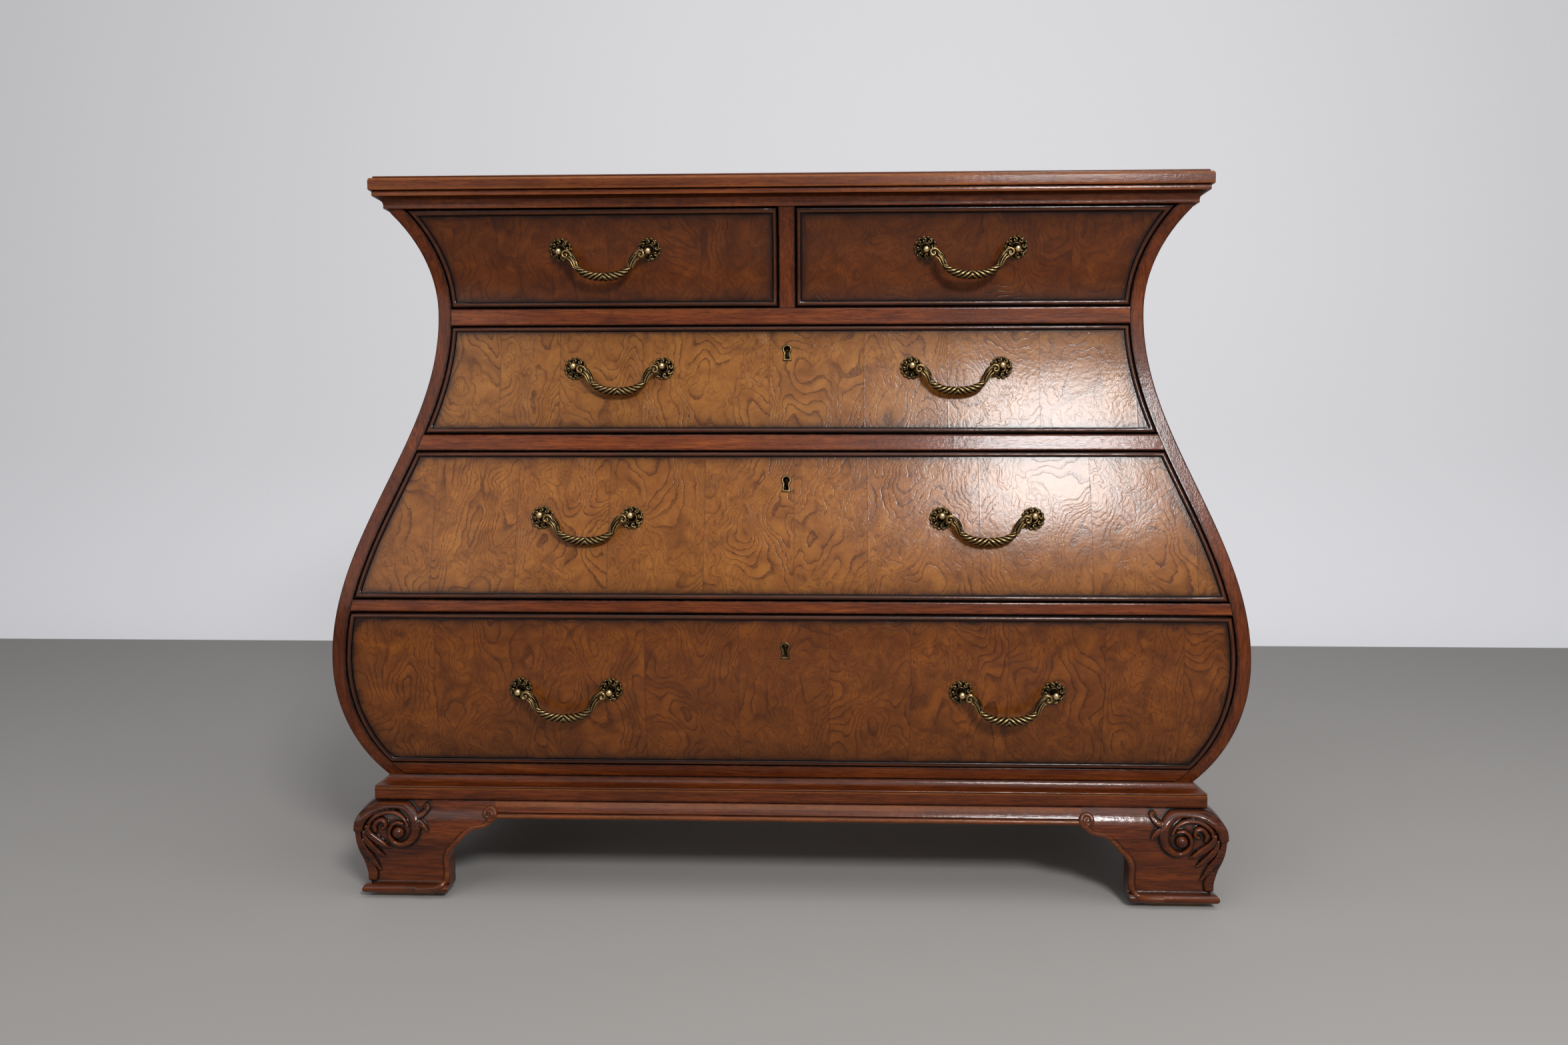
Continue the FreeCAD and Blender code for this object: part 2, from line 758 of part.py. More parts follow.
def side_tails(row):
    """Dovetails of the left and of the right side of a drawer, half blind in its front."""
    inner, outer = box_span(row)
    low = opening(row)[0] + runner_clearance
    pitch = box_heights[row] / tail_counts[row]
    socket = behind_front(tail_cover)
    tails = []
    for x in (inner, outer - box_thickness):
        for n in range(tail_counts[row]):
            level = low + pitch * (n + 0.5)
            tip = waist_y - front_line(level)
            root = tip + 2 * front_thickness  # well inside the side
            wide, narrow = pitch * tail_tip / 2, pitch * tail_root / 2
            corners = [(tip, -wide), (tip, wide), (root, narrow), (root, -narrow)]
            corners = [Vector(x, y, level + z) for y, z in corners]
            tails.append(polygon(corners, Vector(box_thickness, 0, 0)).common(socket))
    return tails[:tail_counts[row]], tails[tail_counts[row]:]


def drawer_front(row, beads):
    """Curved front, rebated for its bead, bored for the posts and cut for the sides and the lock."""
    body = common(front_window(row, 0), front_layer(0, front_thickness))
    left, right = side_tails(row)
    for piece in beads + left + right:
        body = body.cut(piece)
    hole = turned([(post_radius, -2 * front_thickness), (post_radius, front_thickness)])
    for x in ball_places(row):
        body = body.cut(on_front(hole, x, pull_level(row)))
    body = body.cut(bottom_space(row))
    if row in keyhole_drops:
        front, top, _ = bolt_place(row)
        body = body.cut(box(-lock_width / 2, lock_width / 2, front, front + far, top - lock_height, top + 1))
        body = body.cut(keyhole(row, 0))
        body = body.cut(common(keyhole(row, plate_rim), front_layer(-1, plate_inlay)))
    return [body]


def bottom_span(row):
    """Lowest and highest level of the bottom panel of a drawer."""
    low = opening(row)[0] + runner_clearance + bottom_rise
    return low, low + bottom_thickness


def bottom_space(row):
    """Bottom panel with its edges in the grooves of the sides and the front."""
    inner, outer = box_span(row)
    z0, z1 = bottom_span(row)
    edge = box_thickness - bottom_groove
    reach = front_thickness - bottom_groove
    return common(behind_front(reach), box(inner + edge, outer - edge, -far, box_back, z0, z1))


def drawer_box(row):
    """Two sides with their tails, a back between them, and a bottom panel in grooves."""
    inner, outer = box_span(row)
    low = opening(row)[0] + runner_clearance
    high = low + box_heights[row]
    z1 = bottom_span(row)[1]
    space = behind_front(front_thickness)
    bottom = bottom_space(row)
    y1 = box_back
    sides = [common(space, box(x, x + box_thickness, -far, y1, low, high)).fuse(tails).cut(bottom)
             for x, tails in zip((inner, outer - box_thickness), side_tails(row))]
    back = box(inner + box_thickness, outer - box_thickness, y1 - box_thickness, y1, z1, high - 6)
    return sides + [back, bottom]


def post():
    """Post of a pull: ball, neck and shank, with its nut behind the drawer's front."""
    nut_face = front_thickness + nut_seat
    profile = [(post_radius, -nut_face), (post_radius, plate_thickness)]
    for angle in (-52, 0, 52):
        turn = math.radians(angle)
        profile.append((ball_radius * math.cos(turn), ball_standoff + ball_radius * math.sin(turn)))
    nut = ring(Vector(0, nut_face, 0), Vector(1, 0, 0), Vector(0, 0, 1), nut_width / math.sqrt(3), 6)
    return turned(profile).fuse(polygon(nut, Vector(0, nut_thickness, 0)))


def pin_hole(side):
    """Blind hole of a bail's pin, in the ball that stands to one side of its pull."""
    radius, length = pin_radius + pin_clearance, ball_radius + pin_depth
    end = Vector(side * (pin_depth + pin_clearance), 0, 0)
    return Part.makeCylinder(radius, 2 * length, end, Vector(-side, 0, 0))


def drawer_posts(row):
    reach, level = ball_place(row)
    solids = []
    for n, x in enumerate(ball_places(row)):
        hole = pin_hole(-1 if n % 2 == 0 else 1)
        hole.translate(Vector(x, waist_y - reach, level))
        solids.append(on_front(post(), x, pull_level(row)).cut(hole))
    return solids


def plate_seat(row):
    """How far a plate's flat back stands off the middle of its place on the curved front."""
    level = pull_level(row)
    angle = lean(level)
    proud = [(front_line(level + s) - front_line(level)) * math.cos(angle) - s * math.sin(angle)
             for s in (-plate_radius, plate_radius)]
    return max([0.0] + proud)


def lobed_plate(seat):
    """Plate with a scalloped rim and a low dome, pierced for its post."""
    rim = []
    for n in range(2 * plate_lobes):
        radius = plate_radius * (1 if n % 2 == 0 else plate_notch)
        angle = math.pi * n / plate_lobes
        rim.append(Vector(radius * math.cos(angle), -seat, radius * math.sin(angle)))
    plate = polygon(rim, Vector(0, -plate_rim_thickness, 0))
    dome_foot = seat + plate_rim_thickness
    dome = turned([(plate_dome, seat), (plate_dome, dome_foot), (post_radius + 1, plate_thickness)])
    return plate.fuse(dome).cut(turned([(post_radius, 0), (post_radius, 2 * plate_thickness)]))


def drawer_plates(row):
    plate = lobed_plate(plate_seat(row))
    return [on_front(plate, x, pull_level(row)) for x in ball_places(row)]


def bail():
    """Faceted bail hanging from a pivot line through the origin, with a round pin at each end."""
    half = [Vector(x, 0, -drop) for x, drop, _ in bail_line]
    middle = len(half) - 1
    path = half + [Vector(-p.x, 0, p.z) for p in reversed(half[:-1])]
    radii = [radius for _, _, radius in bail_line]
    radii += radii[-2::-1]
    rings = []
    for n, (centre, radius) in enumerate(zip(path, radii)):
        before, after = path[max(n - 1, 0)], path[min(n + 1, 2 * middle)]
        along = Vector(-1, 0, 0) if n in (0, 2 * middle) else (after - before).normalize()
        side = Vector(0, 1, 0)
        rings.append(ring(centre, side, along.cross(side), radius, bail_sides))
    end = pull_spacing / 2 + pin_depth
    length = end - path[0].x + pin_root
    pins = [Part.makeCylinder(pin_radius, length, Vector(side * end, 0, 0), Vector(-side, 0, 0))
            for side in (-1, 1)]
    return faceted(rings).fuse(pins)


def bail_clearance(row, swing):
    """Gap between the middle of a bail and the front when it has swung out by some degrees."""
    reach, level = ball_place(row)
    _, drop, radius = bail_line[-1]
    angle = math.radians(swing)
    out, z = reach + drop * math.sin(angle), level - drop * math.cos(angle)
    return (out - front_line(z)) * math.cos(lean(z)) - radius


def swing_range(row):
    """Degrees through which a row's bails swing, in towards the front and out."""
    low, high = 0, swing_limit
    while bail_clearance(row, low - 1) > bail_gap and low > -30:
        low -= 1
    while bail_clearance(row, high) < bail_gap:
        high -= 1
    return low, high


def drawer_bails(row):
    reach, level = ball_place(row)
    return [bail().translated(Vector(x, waist_y - reach, level)) for x in pull_places(row)]


def keyhole(row, rim):
    """Keyhole that widens downwards, grown by a rim, right through the front."""
    level = opening(row)[1] - drawer_gap - keyhole_drops[row]
    radius = keyhole_radius + rim
    shoulder, foot = keyhole_radius * 0.4 + rim, keyhole_radius * 0.75 + rim
    low = level - keyhole_drop - rim
    through = Vector(0, 2 * far, 0)
    disc = turned([(radius, -far), (radius, far)]).translated(Vector(0, 0, level))
    corners = [(-shoulder, level), (shoulder, level), (foot, low), (-foot, low)]
    slot = polygon([Vector(x, -far, z) for x, z in corners], through)
    ahead = box(-far, far, -far, bolt_place(row)[0], 0, height)
    return common(disc.fuse(slot), ahead)


def escutcheon(row):
    """Brass rim let in round the keyhole, curved as the front is."""
    rim = keyhole(row, plate_rim).cut(keyhole(row, 0))
    return [common(rim, front_layer(-plate_stand, plate_inlay))]


def bolt_body(row, clearance):
    _, top, y = bolt_place(row)
    x, half = bolt_width / 2 + clearance, bolt_thickness / 2 + clearance
    return box(-x, x, y - half, y + half, top - bolt_length - clearance, top + 2 * clearance)


def lock_case(row):
    """Lock case with a channel for its bolt, a keyway and the pin that the key turns on."""
    front, top, y = bolt_place(row)
    case = box(-lock_width / 2, lock_width / 2, front, front + lock_thickness, top - lock_height, top)
    case = case.cut(bolt_body(row, bolt_clearance))
    level = top - keyhole_drops[row]
    keyway, pin = [turned([(radius, -y), (radius, -front)]).translated(Vector(0, 0, level))
                   for radius in (keyhole_radius, key_pin_radius)]
    slot = box(-keyhole_radius * 0.5, keyhole_radius * 0.5, front, y, level - keyhole_drop, level)
    return [case.cut(keyway).cut(slot), pin]


def lock_bolt(row):
    _, top, y = bolt_place(row)
    body = bolt_body(row, 0)
    bevelled = [e for e in body.Edges if e.BoundBox.ZMin > top - 0.1 and e.BoundBox.XLength > 1]
    return [body.makeChamfer(1.0, bevelled)]


def export(name, solids):
    Part.makeCompound(solids).exportStep(f"parts/{name}.step")


def export_drawer(name, row, turn=None):
    """Writes the nodes of one drawer; turn mirrors a right-hand drawer to the left."""
    beads = drawer_beads(row)
    bails = drawer_bails(row)
    nodes = {"front": drawer_front(row, beads), "bead": beads, "box": drawer_box(row),
             "plates": drawer_plates(row), "posts": drawer_posts(row)}
    if row == 1:
        nodes["bail"] = bails
    else:
        nodes["bail_left"], nodes["bail_right"] = bails[:1], bails[1:]
        nodes.update(escutcheon=escutcheon(row), lock=lock_case(row), bolt=lock_bolt(row))
    for suffix, solids in nodes.items():
        if turn:
            solids = [turn(solid) for solid in solids]
        export(f"{name}_{suffix}", solids)


def export_case():
    stile, panel, foot = right_stile(), right_side_panel(), right_front_foot()
    nodes = {
        "top_board": top_board(),
        "top_moulding": moulded_run(crown_section, head_x, head_y, (0, crown_fillet), case_back),
        "front_stile_right": [stile],
        "front_stile_left": [mirrored(stile)],
        "side_panel_right": [panel],
        "side_panel_left": [mirrored(panel)],
        "rear_frame": rear_frame(),
        "back_panel": back_panel(),
        "front_rails": front_rails(),
        "drawer_divider": drawer_divider(),
        "web_frames": web_frames(),
        "base_moulding": base_moulding(),
        "apron": aprons(),
        "front_foot_right": foot,
        "front_foot_left": [mirrored(solid) for solid in foot],
        "rear_feet": both_sides(right_rear_foot()),
        "glue_blocks": glue_blocks(),
        "glides": glides(),
    }
    for name, solids in nodes.items():
        export(name, solids)


def main():
    os.makedirs("parts", exist_ok=True)
    export_case()
    export_drawer("drawer_1_right", 1)
    export_drawer("drawer_1_left", 1, mirrored)
    for row in rows[1:]:
        export_drawer(f"drawer_{row}", row)


if __name__ == "__main__":
    main()
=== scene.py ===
"""A bombe chest of drawers in polished mahogany and burr veneer, dressed around its CAD frame."""

import json
import math

import bmesh
import bpy
import numpy as np
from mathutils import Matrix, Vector

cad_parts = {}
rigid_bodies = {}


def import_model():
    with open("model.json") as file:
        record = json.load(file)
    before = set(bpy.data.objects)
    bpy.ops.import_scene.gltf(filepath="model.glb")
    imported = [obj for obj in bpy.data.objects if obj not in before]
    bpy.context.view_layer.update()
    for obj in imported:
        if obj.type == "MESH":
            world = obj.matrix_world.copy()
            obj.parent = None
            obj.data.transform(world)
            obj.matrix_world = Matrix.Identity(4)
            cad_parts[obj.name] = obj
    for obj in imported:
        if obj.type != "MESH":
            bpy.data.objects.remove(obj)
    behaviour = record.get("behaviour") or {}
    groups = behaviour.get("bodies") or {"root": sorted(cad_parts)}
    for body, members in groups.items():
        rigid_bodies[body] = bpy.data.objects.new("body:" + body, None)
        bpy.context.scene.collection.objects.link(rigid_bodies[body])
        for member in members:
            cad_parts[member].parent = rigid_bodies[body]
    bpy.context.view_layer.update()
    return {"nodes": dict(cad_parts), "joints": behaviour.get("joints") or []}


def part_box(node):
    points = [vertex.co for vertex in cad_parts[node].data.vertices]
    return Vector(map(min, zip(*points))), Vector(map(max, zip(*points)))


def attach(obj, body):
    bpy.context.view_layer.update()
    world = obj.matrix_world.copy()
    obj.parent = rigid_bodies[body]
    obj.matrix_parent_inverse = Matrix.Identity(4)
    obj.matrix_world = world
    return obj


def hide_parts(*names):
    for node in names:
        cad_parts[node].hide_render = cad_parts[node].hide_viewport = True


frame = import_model()

MM = 0.001  # sizes are in millimetres until a mesh is made


def corners(node):
    """Lowest and highest corner of a CAD node, in millimetres."""
    low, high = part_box(node)
    return low / MM, high / MM


# The case's swelling line and other sizes, as the CAD has them.
belly_half, waist_half = 596.0, 474.0
front_swell = 81.0
belly_rise, waist_drop = 163.0, 132.0
tuck_share, tuck_axis = 0.467, 230.0
flare_share, flare_axis = 0.446, 180.0
depth = 560.0
crown_height = 21.0
stile_face, stile_depth = 18.0, 45.0
back_overhang, side_overhang = 6.0, 17.0
slab_edge, base_out = 16.0, 14.4
drawer_gap, bolt_throw = 2.0, 9.0
keyhole_radius, keyhole_drop, plate_rim = 3.7, 12.5, 3.4
both_sides = (("right", 1), ("left", -1))

frame_foot = corners("front_stile_right")[0].z
frame_top = corners("front_stile_right")[1].z
frame_head = frame_top - crown_height
belly_level, waist_level = frame_foot + belly_rise, frame_head - waist_drop
back_y = corners("top_board")[1].y
case_back = back_y - back_overhang
waist_y = back_y - depth + front_swell
chest_top = corners("top_board")[1].z


def ellipse_share(run, axis, full_run, full_share):
    """Share of a swell that an ellipse's quarter takes up over part of its run."""
    def fall(distance):
        return 1 - math.sqrt(1 - (distance / axis) ** 2)

    return full_share * fall(run) / fall(full_run)


def swell(z):
    """The swelling line: 0 at the waist, 1 at the belly."""
    if z > waist_level:
        return ellipse_share(min(z, frame_head) - waist_level, flare_axis, waist_drop, flare_share)
    if z < belly_level:
        return 1 - ellipse_share(belly_level - z, tuck_axis, belly_rise, tuck_share)
    return (1 - math.cos(math.pi * (waist_level - z) / (waist_level - belly_level))) / 2


def side_line(z):
    """Half width of the case at a level."""
    return waist_half + (belly_half - waist_half) * swell(z)


def front_line(z):
    """How far the front stands out from the waist at a level."""
    return front_swell * swell(z)


def slope(line, z):
    """Run of a line for each millimetre of rise."""
    return line(z + 0.5) - line(z - 0.5)


def inside(line, distance, rounds=20):
    """The line that runs parallel to another, a distance inside it."""
    def parallel(z):
        level = z
        for _ in range(rounds):
            level = z - distance * math.sin(math.atan(slope(line, level)))
        return line(level) - distance * math.cos(math.atan(slope(line, level)))

    return parallel


def front_point(x, z, proud=0.0):
    """A point that stands proud of the front's surface at a level."""
    run = slope(front_line, z)
    length = math.sqrt(1 + run * run)
    return (x, waist_y - front_line(z) - proud / length, z - proud * run / length)


foot_x, foot_y = side_line(frame_foot), waist_y - front_line(frame_foot)
head_x, head_y = side_line(frame_head), waist_y - front_line(frame_head)


# Finishes.

def hex_colour(code):
    """Linear RGBA of an sRGB hex colour."""
    values = [int(code[i:i + 2], 16) / 255 for i in (1, 3, 5)]
    return tuple(v / 12.92 if v <= 0.04045 else ((v + 0.055) / 1.055) ** 2.4 for v in values) + (1.0,)


def add(tree, kind, inputs=None, out=None, stops=(), **settings):
    """Adds a node with its settings, inputs and colour stops, and gives back one of its outputs."""
    node = tree.nodes.new(kind)
    for key, value in settings.items():
        setattr(node, key, value)
    for key, value in (inputs or {}).items():
        if isinstance(value, bpy.types.NodeSocket):
            tree.links.new(value, node.inputs[key])
        else:
            node.inputs[key].default_value = hex_colour(value) if str(value).startswith("#") else value
    for n, (place, shade) in enumerate(stops):
        elements = node.color_ramp.elements
        stop = elements[n] if n < len(elements) else elements.new(place)
        stop.position = place
        stop.color = hex_colour(shade) if isinstance(shade, str) else (shade, shade, shade, 1.0)
    if out:
        return node.outputs[out]
    return next((socket for socket in node.outputs if socket.enabled), None)


def maths(tree, operation, *values, clamp=False):
    """Result of an operation on values in their order."""
    return add(tree, "ShaderNodeMath", dict(enumerate(values)), operation=operation, use_clamp=clamp)


def vectors(tree, operation, *values):
    """Result of an operation on vectors in their order."""
    return add(tree, "ShaderNodeVectorMath", dict(enumerate(values)), operation=operation)


def noise(tree, place, size, detail, out=None, **more):
    """Cloudy pattern whose features are of a size in millimetres."""
    inputs = {"Vector": place, "Scale": 1 / (size * MM), "Detail": detail, **more}
    return add(tree, "ShaderNodeTexNoise", inputs, out)


def ramp(tree, share, *stops):
    """Colours or values between stops along a share."""
    return add(tree, "ShaderNodeValToRGB", {"Fac": share}, stops=stops)


def blend(tree, share, under, over):
    """One colour laid over another by a share."""
    return add(tree, "ShaderNodeMix", {0: share, 6: under, 7: over}, data_type="RGBA")


def stored(tree, name):
    """The value that a mesh's points carry under a name."""
    return add(tree, "ShaderNodeAttribute", attribute_name=name, out="Fac")


def grained(tree, along, squeeze):
    """Places on the object, and the same places squeezed along the axis of the grain."""
    place = add(tree, "ShaderNodeTexCoord", out="Object")
    scale = [squeeze if axis == along else 1.0 for axis in "XYZ"]
    return place, add(tree, "ShaderNodeMapping", {"Vector": place, "Scale": scale})


def new_finish(name, colour, roughness, coat=0.0, coat_roughness=0.1, metallic=0.0, specular=0.5):
    """A material with its even settings on the shader, its tree, and its shader's inputs."""
    material = bpy.data.materials.new(name)
    material.use_nodes = True
    inputs = material.node_tree.nodes["Principled BSDF"].inputs
    for key, value in (("Base Color", hex_colour(colour)), ("Roughness", roughness), ("Coat Weight", coat),
                       ("Coat Roughness", coat_roughness), ("Metallic", metallic),
                       ("Specular IOR Level", specular)):
        inputs[key].default_value = value
    material.diffuse_color = hex_colour(colour)
    return material, material.node_tree, inputs


def roughen(tree, shader, height, height_mm):
    """Lets a height pattern tilt the surface, under the lacquer too."""
    bump = add(tree, "ShaderNodeBump", {"Height": height, "Strength": 1.0, "Distance": height_mm * MM})
    tree.links.new(bump, shader["Normal"])
    tree.links.new(bump, shader["Coat Normal"])


def mahogany(name, along, dark, middle, light, polish=0.3):
    """French-polished mahogany: ribbon grain along the piece, open pores, black wax and painted shade left in
    the quirks, and the colour rubbed thin on the arrises with a painted highlight there. The polish gives a
    soft, slightly wavy gloss."""
    material, tree, shader = new_finish(name, middle, 0.38, coat=polish, coat_roughness=0.13, specular=0.14)
    place, grain = grained(tree, along, 0.07)
    ribbon = noise(tree, grain, 13, 4.0, Roughness=0.6, Distortion=0.6)
    colour = ramp(tree, ribbon, (0.30, dark), (0.5, middle), (0.72, light))
    fibre = ramp(tree, noise(tree, grain, 2.2, 3.0), (0.36, dark), (0.66, light))
    colour = blend(tree, 0.4, colour, fibre)
    clouds = ramp(tree, noise(tree, place, 130, 3.0), (0.38, 0.0), (0.68, 0.5))
    colour = blend(tree, clouds, colour, dark)
    pores = noise(tree, grain, 0.9, 1.0)
    open_pores = ramp(tree, pores, (0.60, 0.0), (0.70, 0.6))
    colour = blend(tree, open_pores, colour, "#1c0905")
    # Wear over 0 is wax and painted shade in a hollow, and wear under 0 is an edge rubbed bright together
    # with a painted highlight.
    wear_and_painted_light, ragged = stored(tree, "wear_and_painted_light"), noise(tree, place, 7, 3.0)
    uneven = maths(tree, "MULTIPLY_ADD", ragged, 1.5, 0.15)
    # Painted highlight on the arrises, laid on as rubbed, lighter colour.
    rubbed = maths(tree, "MULTIPLY", wear_and_painted_light, -0.7, clamp=True)
    rubbed = maths(tree, "MULTIPLY", rubbed, uneven, clamp=True)
    colour = blend(tree, rubbed, colour, "#a0602c")
    # Painted shade in hollows, gaps and creases, laid on with the black wax.
    waxed_and_shaded = maths(tree, "MULTIPLY", wear_and_painted_light, uneven, clamp=True)
    colour = blend(tree, waxed_and_shaded, colour, "#0f0503")
    tree.links.new(colour, shader["Base Color"])
    roughen(tree, shader, maths(tree, "MULTIPLY_ADD", pores, -0.5, ragged), 0.16)
    return material


def burr_veneer(name, light, middle, dark, shading, seed):
    """Burr ash veneer in leaves laid edge to edge: swirling growth lines that end sharply on one
    side and fade on the other, cloudy between them, darkened round the border by painted shade and by dirt
    beside the bead, and polished over the open grain, so that the lines show again in the gloss."""
    leaf_width, seed_shift, border_width = 125 * MM, 0.0713, 34
    material, tree, shader = new_finish(name, middle, 0.38, coat=0.36, coat_roughness=0.18, specular=0.12)
    place = add(tree, "ShaderNodeUVMap", uv_map="laid")
    across = maths(tree, "ADD", add(tree, "ShaderNodeSeparateXYZ", {0: place}), seed * seed_shift)
    leaves = {"W": across, "Scale": 1 / leaf_width, "Randomness": 0.8}
    leaf = add(tree, "ShaderNodeTexVoronoi", leaves, out="Color", voronoi_dimensions="1D")
    joint = add(tree, "ShaderNodeTexVoronoi", leaves, voronoi_dimensions="1D", feature="DISTANCE_TO_EDGE")
    joint = ramp(tree, joint, (0.0, 1.0), (0.010, 0.0))
    own = bent = vectors(tree, "ADD", place, vectors(tree, "MULTIPLY", leaf, (3.0, 5.0, 7.0)))
    for size, detail, reach in ((38, 3.0, 0.028), (7, 2.0, 0.0032)):
        push = vectors(tree, "MULTIPLY", noise(tree, own, size, detail, "Color"), (reach, reach, 0.0))
        bent = vectors(tree, "ADD", bent, push)
    bent = add(tree, "ShaderNodeMapping", {"Vector": bent, "Scale": (1.0, 0.55, 1.0)})
    hills = noise(tree, bent, 88, 1.0, Distortion=0.35)
    years = maths(tree, "FRACT", maths(tree, "MULTIPLY", hills, 26.0))
    line = ramp(tree, years, (0.0, 0.0), (0.04, 1.0), (0.16, 0.85), (0.30, 0.22), (0.7, 0.0))
    curls = maths(tree, "FRACT", maths(tree, "MULTIPLY", noise(tree, bent, 30, 2.0), 15.0))
    curl = ramp(tree, curls, (0.0, 0.0), (0.08, 0.9), (0.45, 0.0))
    patches = noise(tree, own, 72, 2.0)
    line = maths(tree, "MULTIPLY", line, ramp(tree, patches, (0.38, 0.2), (0.56, 1.0)))
    curl = maths(tree, "MULTIPLY", curl, ramp(tree, patches, (0.42, 0.8), (0.58, 0.0)))
    broken = ramp(tree, noise(tree, own, 2.4, 1.0), (0.32, 0.5), (0.56, 1.0))
    line = maths(tree, "MULTIPLY", maths(tree, "MAXIMUM", line, curl), broken)
    cloud = noise(tree, own, 30, 6.0, Roughness=0.6, Distortion=0.8)
    colour = ramp(tree, cloud, (0.24, dark), (0.48, middle), (0.74, light))
    colour = blend(tree, maths(tree, "MULTIPLY", line, 0.82), colour, "#3a190a")
    specks = ramp(tree, noise(tree, place, 3.2, 1.0), (0.70, 0.0), (0.76, 0.6))
    colour = blend(tree, specks, colour, "#2c1308")
    tone = add(tree, "ShaderNodeSeparateColor", {0: leaf}, out="Green")
    colour = blend(tree, maths(tree, "MULTIPLY", tone, 0.30), colour, dark)
    colour = blend(tree, maths(tree, "MULTIPLY", joint, 0.4), colour, "#3a1c0e")
    # Painted shade, with some dirt, darkens the leaves towards their border and most beside the bead; shading
    # sets how dark.
    ragged = noise(tree, place, 26, 4.0)
    border = maths(tree, "MULTIPLY_ADD", ragged, -9.0, stored(tree, "border"))
    border = maths(tree, "MULTIPLY_ADD", border, 1 / border_width, 4 / border_width)
    fade = ((0.0, 1.0), (0.07, 0.62), (0.2, 0.3), (0.5, 0.1), (1.0, 0.0))
    shade = ramp(tree, border, *[(stop, share * shading) for stop, share in fade])
    colour = blend(tree, shade, colour, "#1c0a05")
    tree.links.new(colour, shader["Base Color"])
    height = maths(tree, "MULTIPLY_ADD", line, -0.55, noise(tree, place, 6, 2.0))
    roughen(tree, shader, maths(tree, "MULTIPLY_ADD", joint, 0.35, height), 0.12)
    return material


def poplar(name, along):
    """Planed, unpolished poplar of the inside: pale, straight and dry to the eye."""
    material, tree, shader = new_finish(name, "#a9835a", 0.62, specular=0.3)
    grain = grained(tree, along, 0.05)[1]
    broad = noise(tree, grain, 18, 4.0, Distortion=0.4)
    colour = ramp(tree, broad, (0.3, "#7e5c3a"), (0.55, "#9b764e"), (0.75, "#b08d62"))
    fine = noise(tree, grain, 1.8, 2.0)
    colour = blend(tree, ramp(tree, fine, (0.5, 0.0), (0.75, 0.35)), colour, "#5f4229")
    tree.links.new(colour, shader["Base Color"])
    roughen(tree, shader, fine, 0.12)
    return material


def cast_brass():
    """Cast brass, lacquered dark: brown-black in its hollows, rubbed back to bright metal on high spots."""
    material, tree, shader = new_finish("antique_cast_brass", "#6d5735", 0.36, metallic=1.0)
    mottle = noise(tree, add(tree, "ShaderNodeTexCoord", out="Object"), 2.2, 3.0)
    level = maths(tree, "MULTIPLY_ADD", mottle, 0.36, stored(tree, "relief"))
    level = maths(tree, "SUBTRACT", level, 0.18)
    colour = ramp(tree, level, (0.10, "#0d0a08"), (0.42, "#281f15"), (0.68, "#5e4d33"), (0.86, "#a2875a"),
                  (1.0, "#dfc591"))
    tree.links.new(colour, shader["Base Color"])
    tree.links.new(ramp(tree, level, (0.1, 0.6), (0.6, 0.38), (1.0, 0.27)), shader["Roughness"])
    roughen(tree, shader, mottle, 0.06)
    return material


def filed_brass():
    """Lock brass, filed flat and dull, with fine scratches lengthwise."""
    material, tree, shader = new_finish("filed_lock_brass", "#92783f", 0.42, metallic=1.0)
    scratches = noise(tree, grained(tree, "X", 0.08)[1], 0.8, 2.0)
    colour = ramp(tree, scratches, (0.3, "#7d6638"), (0.7, "#a98d54"))
    tree.links.new(colour, shader["Base Color"])
    roughen(tree, shader, scratches, 0.03)
    return material


def seamless_paper(name, colour, glow=0.0):
    """Matt seamless paper of floor and backdrop, with a fine fibre; the eye alone sees its glow."""
    material, tree, shader = new_finish(name, colour, 0.9, specular=0.2)
    if glow:
        seen = maths(tree, "MULTIPLY", add(tree, "ShaderNodeLightPath", out="Is Camera Ray"), glow)
        shader["Emission Color"].default_value = hex_colour(colour)
        tree.links.new(seen, shader["Emission Strength"])
    fibre = noise(tree, add(tree, "ShaderNodeTexCoord", out="Object"), 4, 2.0)
    roughen(tree, shader, fibre, 0.05)
    return material


rail_tones = ("#461b08", "#6d2f10", "#8f4a1d")
# Painted shade: the stile, base and foot tones are darker copies of the rail tones, since the lower part and
# the stiles get less light; the stiles are partly darker with age too.
stile_aged_and_shaded_tones = ("#3a1506", "#5f280c", "#803f16")
bead_tones = ("#200b05", "#391608", "#57270f")
base_shaded_tones = ("#371405", "#5a270c", "#7c3b16")
foot_shaded_tones = ("#2f0f04", "#552207", "#803c11")
top_tones = ("#451b09", "#672f12", "#84491f")
rail_x = mahogany("polished_mahogany_rails", "X", *rail_tones)
rail_y = mahogany("polished_mahogany_side_runs", "Y", *rail_tones)
stile_z = mahogany("polished_mahogany_stiles", "Z", *stile_aged_and_shaded_tones)
bead_x = mahogany("stained_mahogany_beads", "X", *bead_tones, polish=0.35)
bead_z = mahogany("stained_mahogany_bead_ends", "Z", *bead_tones, polish=0.35)
top_x = mahogany("rubbed_mahogany_top", "X", *top_tones, polish=0.1)
top_y = mahogany("rubbed_mahogany_top_ends", "Y", *top_tones, polish=0.1)
base_x = mahogany("polished_mahogany_base", "X", *base_shaded_tones)
base_y = mahogany("polished_mahogany_base_returns", "Y", *base_shaded_tones)
foot_wood = mahogany("carved_mahogany_feet", "X", *foot_shaded_tones, polish=0.5)
poplar_x = poplar("planed_poplar_lengthwise", "X")
poplar_y = poplar("planed_poplar_front_to_back", "Y")
brass = cast_brass()
lock_brass = filed_brass()


# Mesh helpers.

weld = 0.02 * MM  # points nearer to each other than this are one


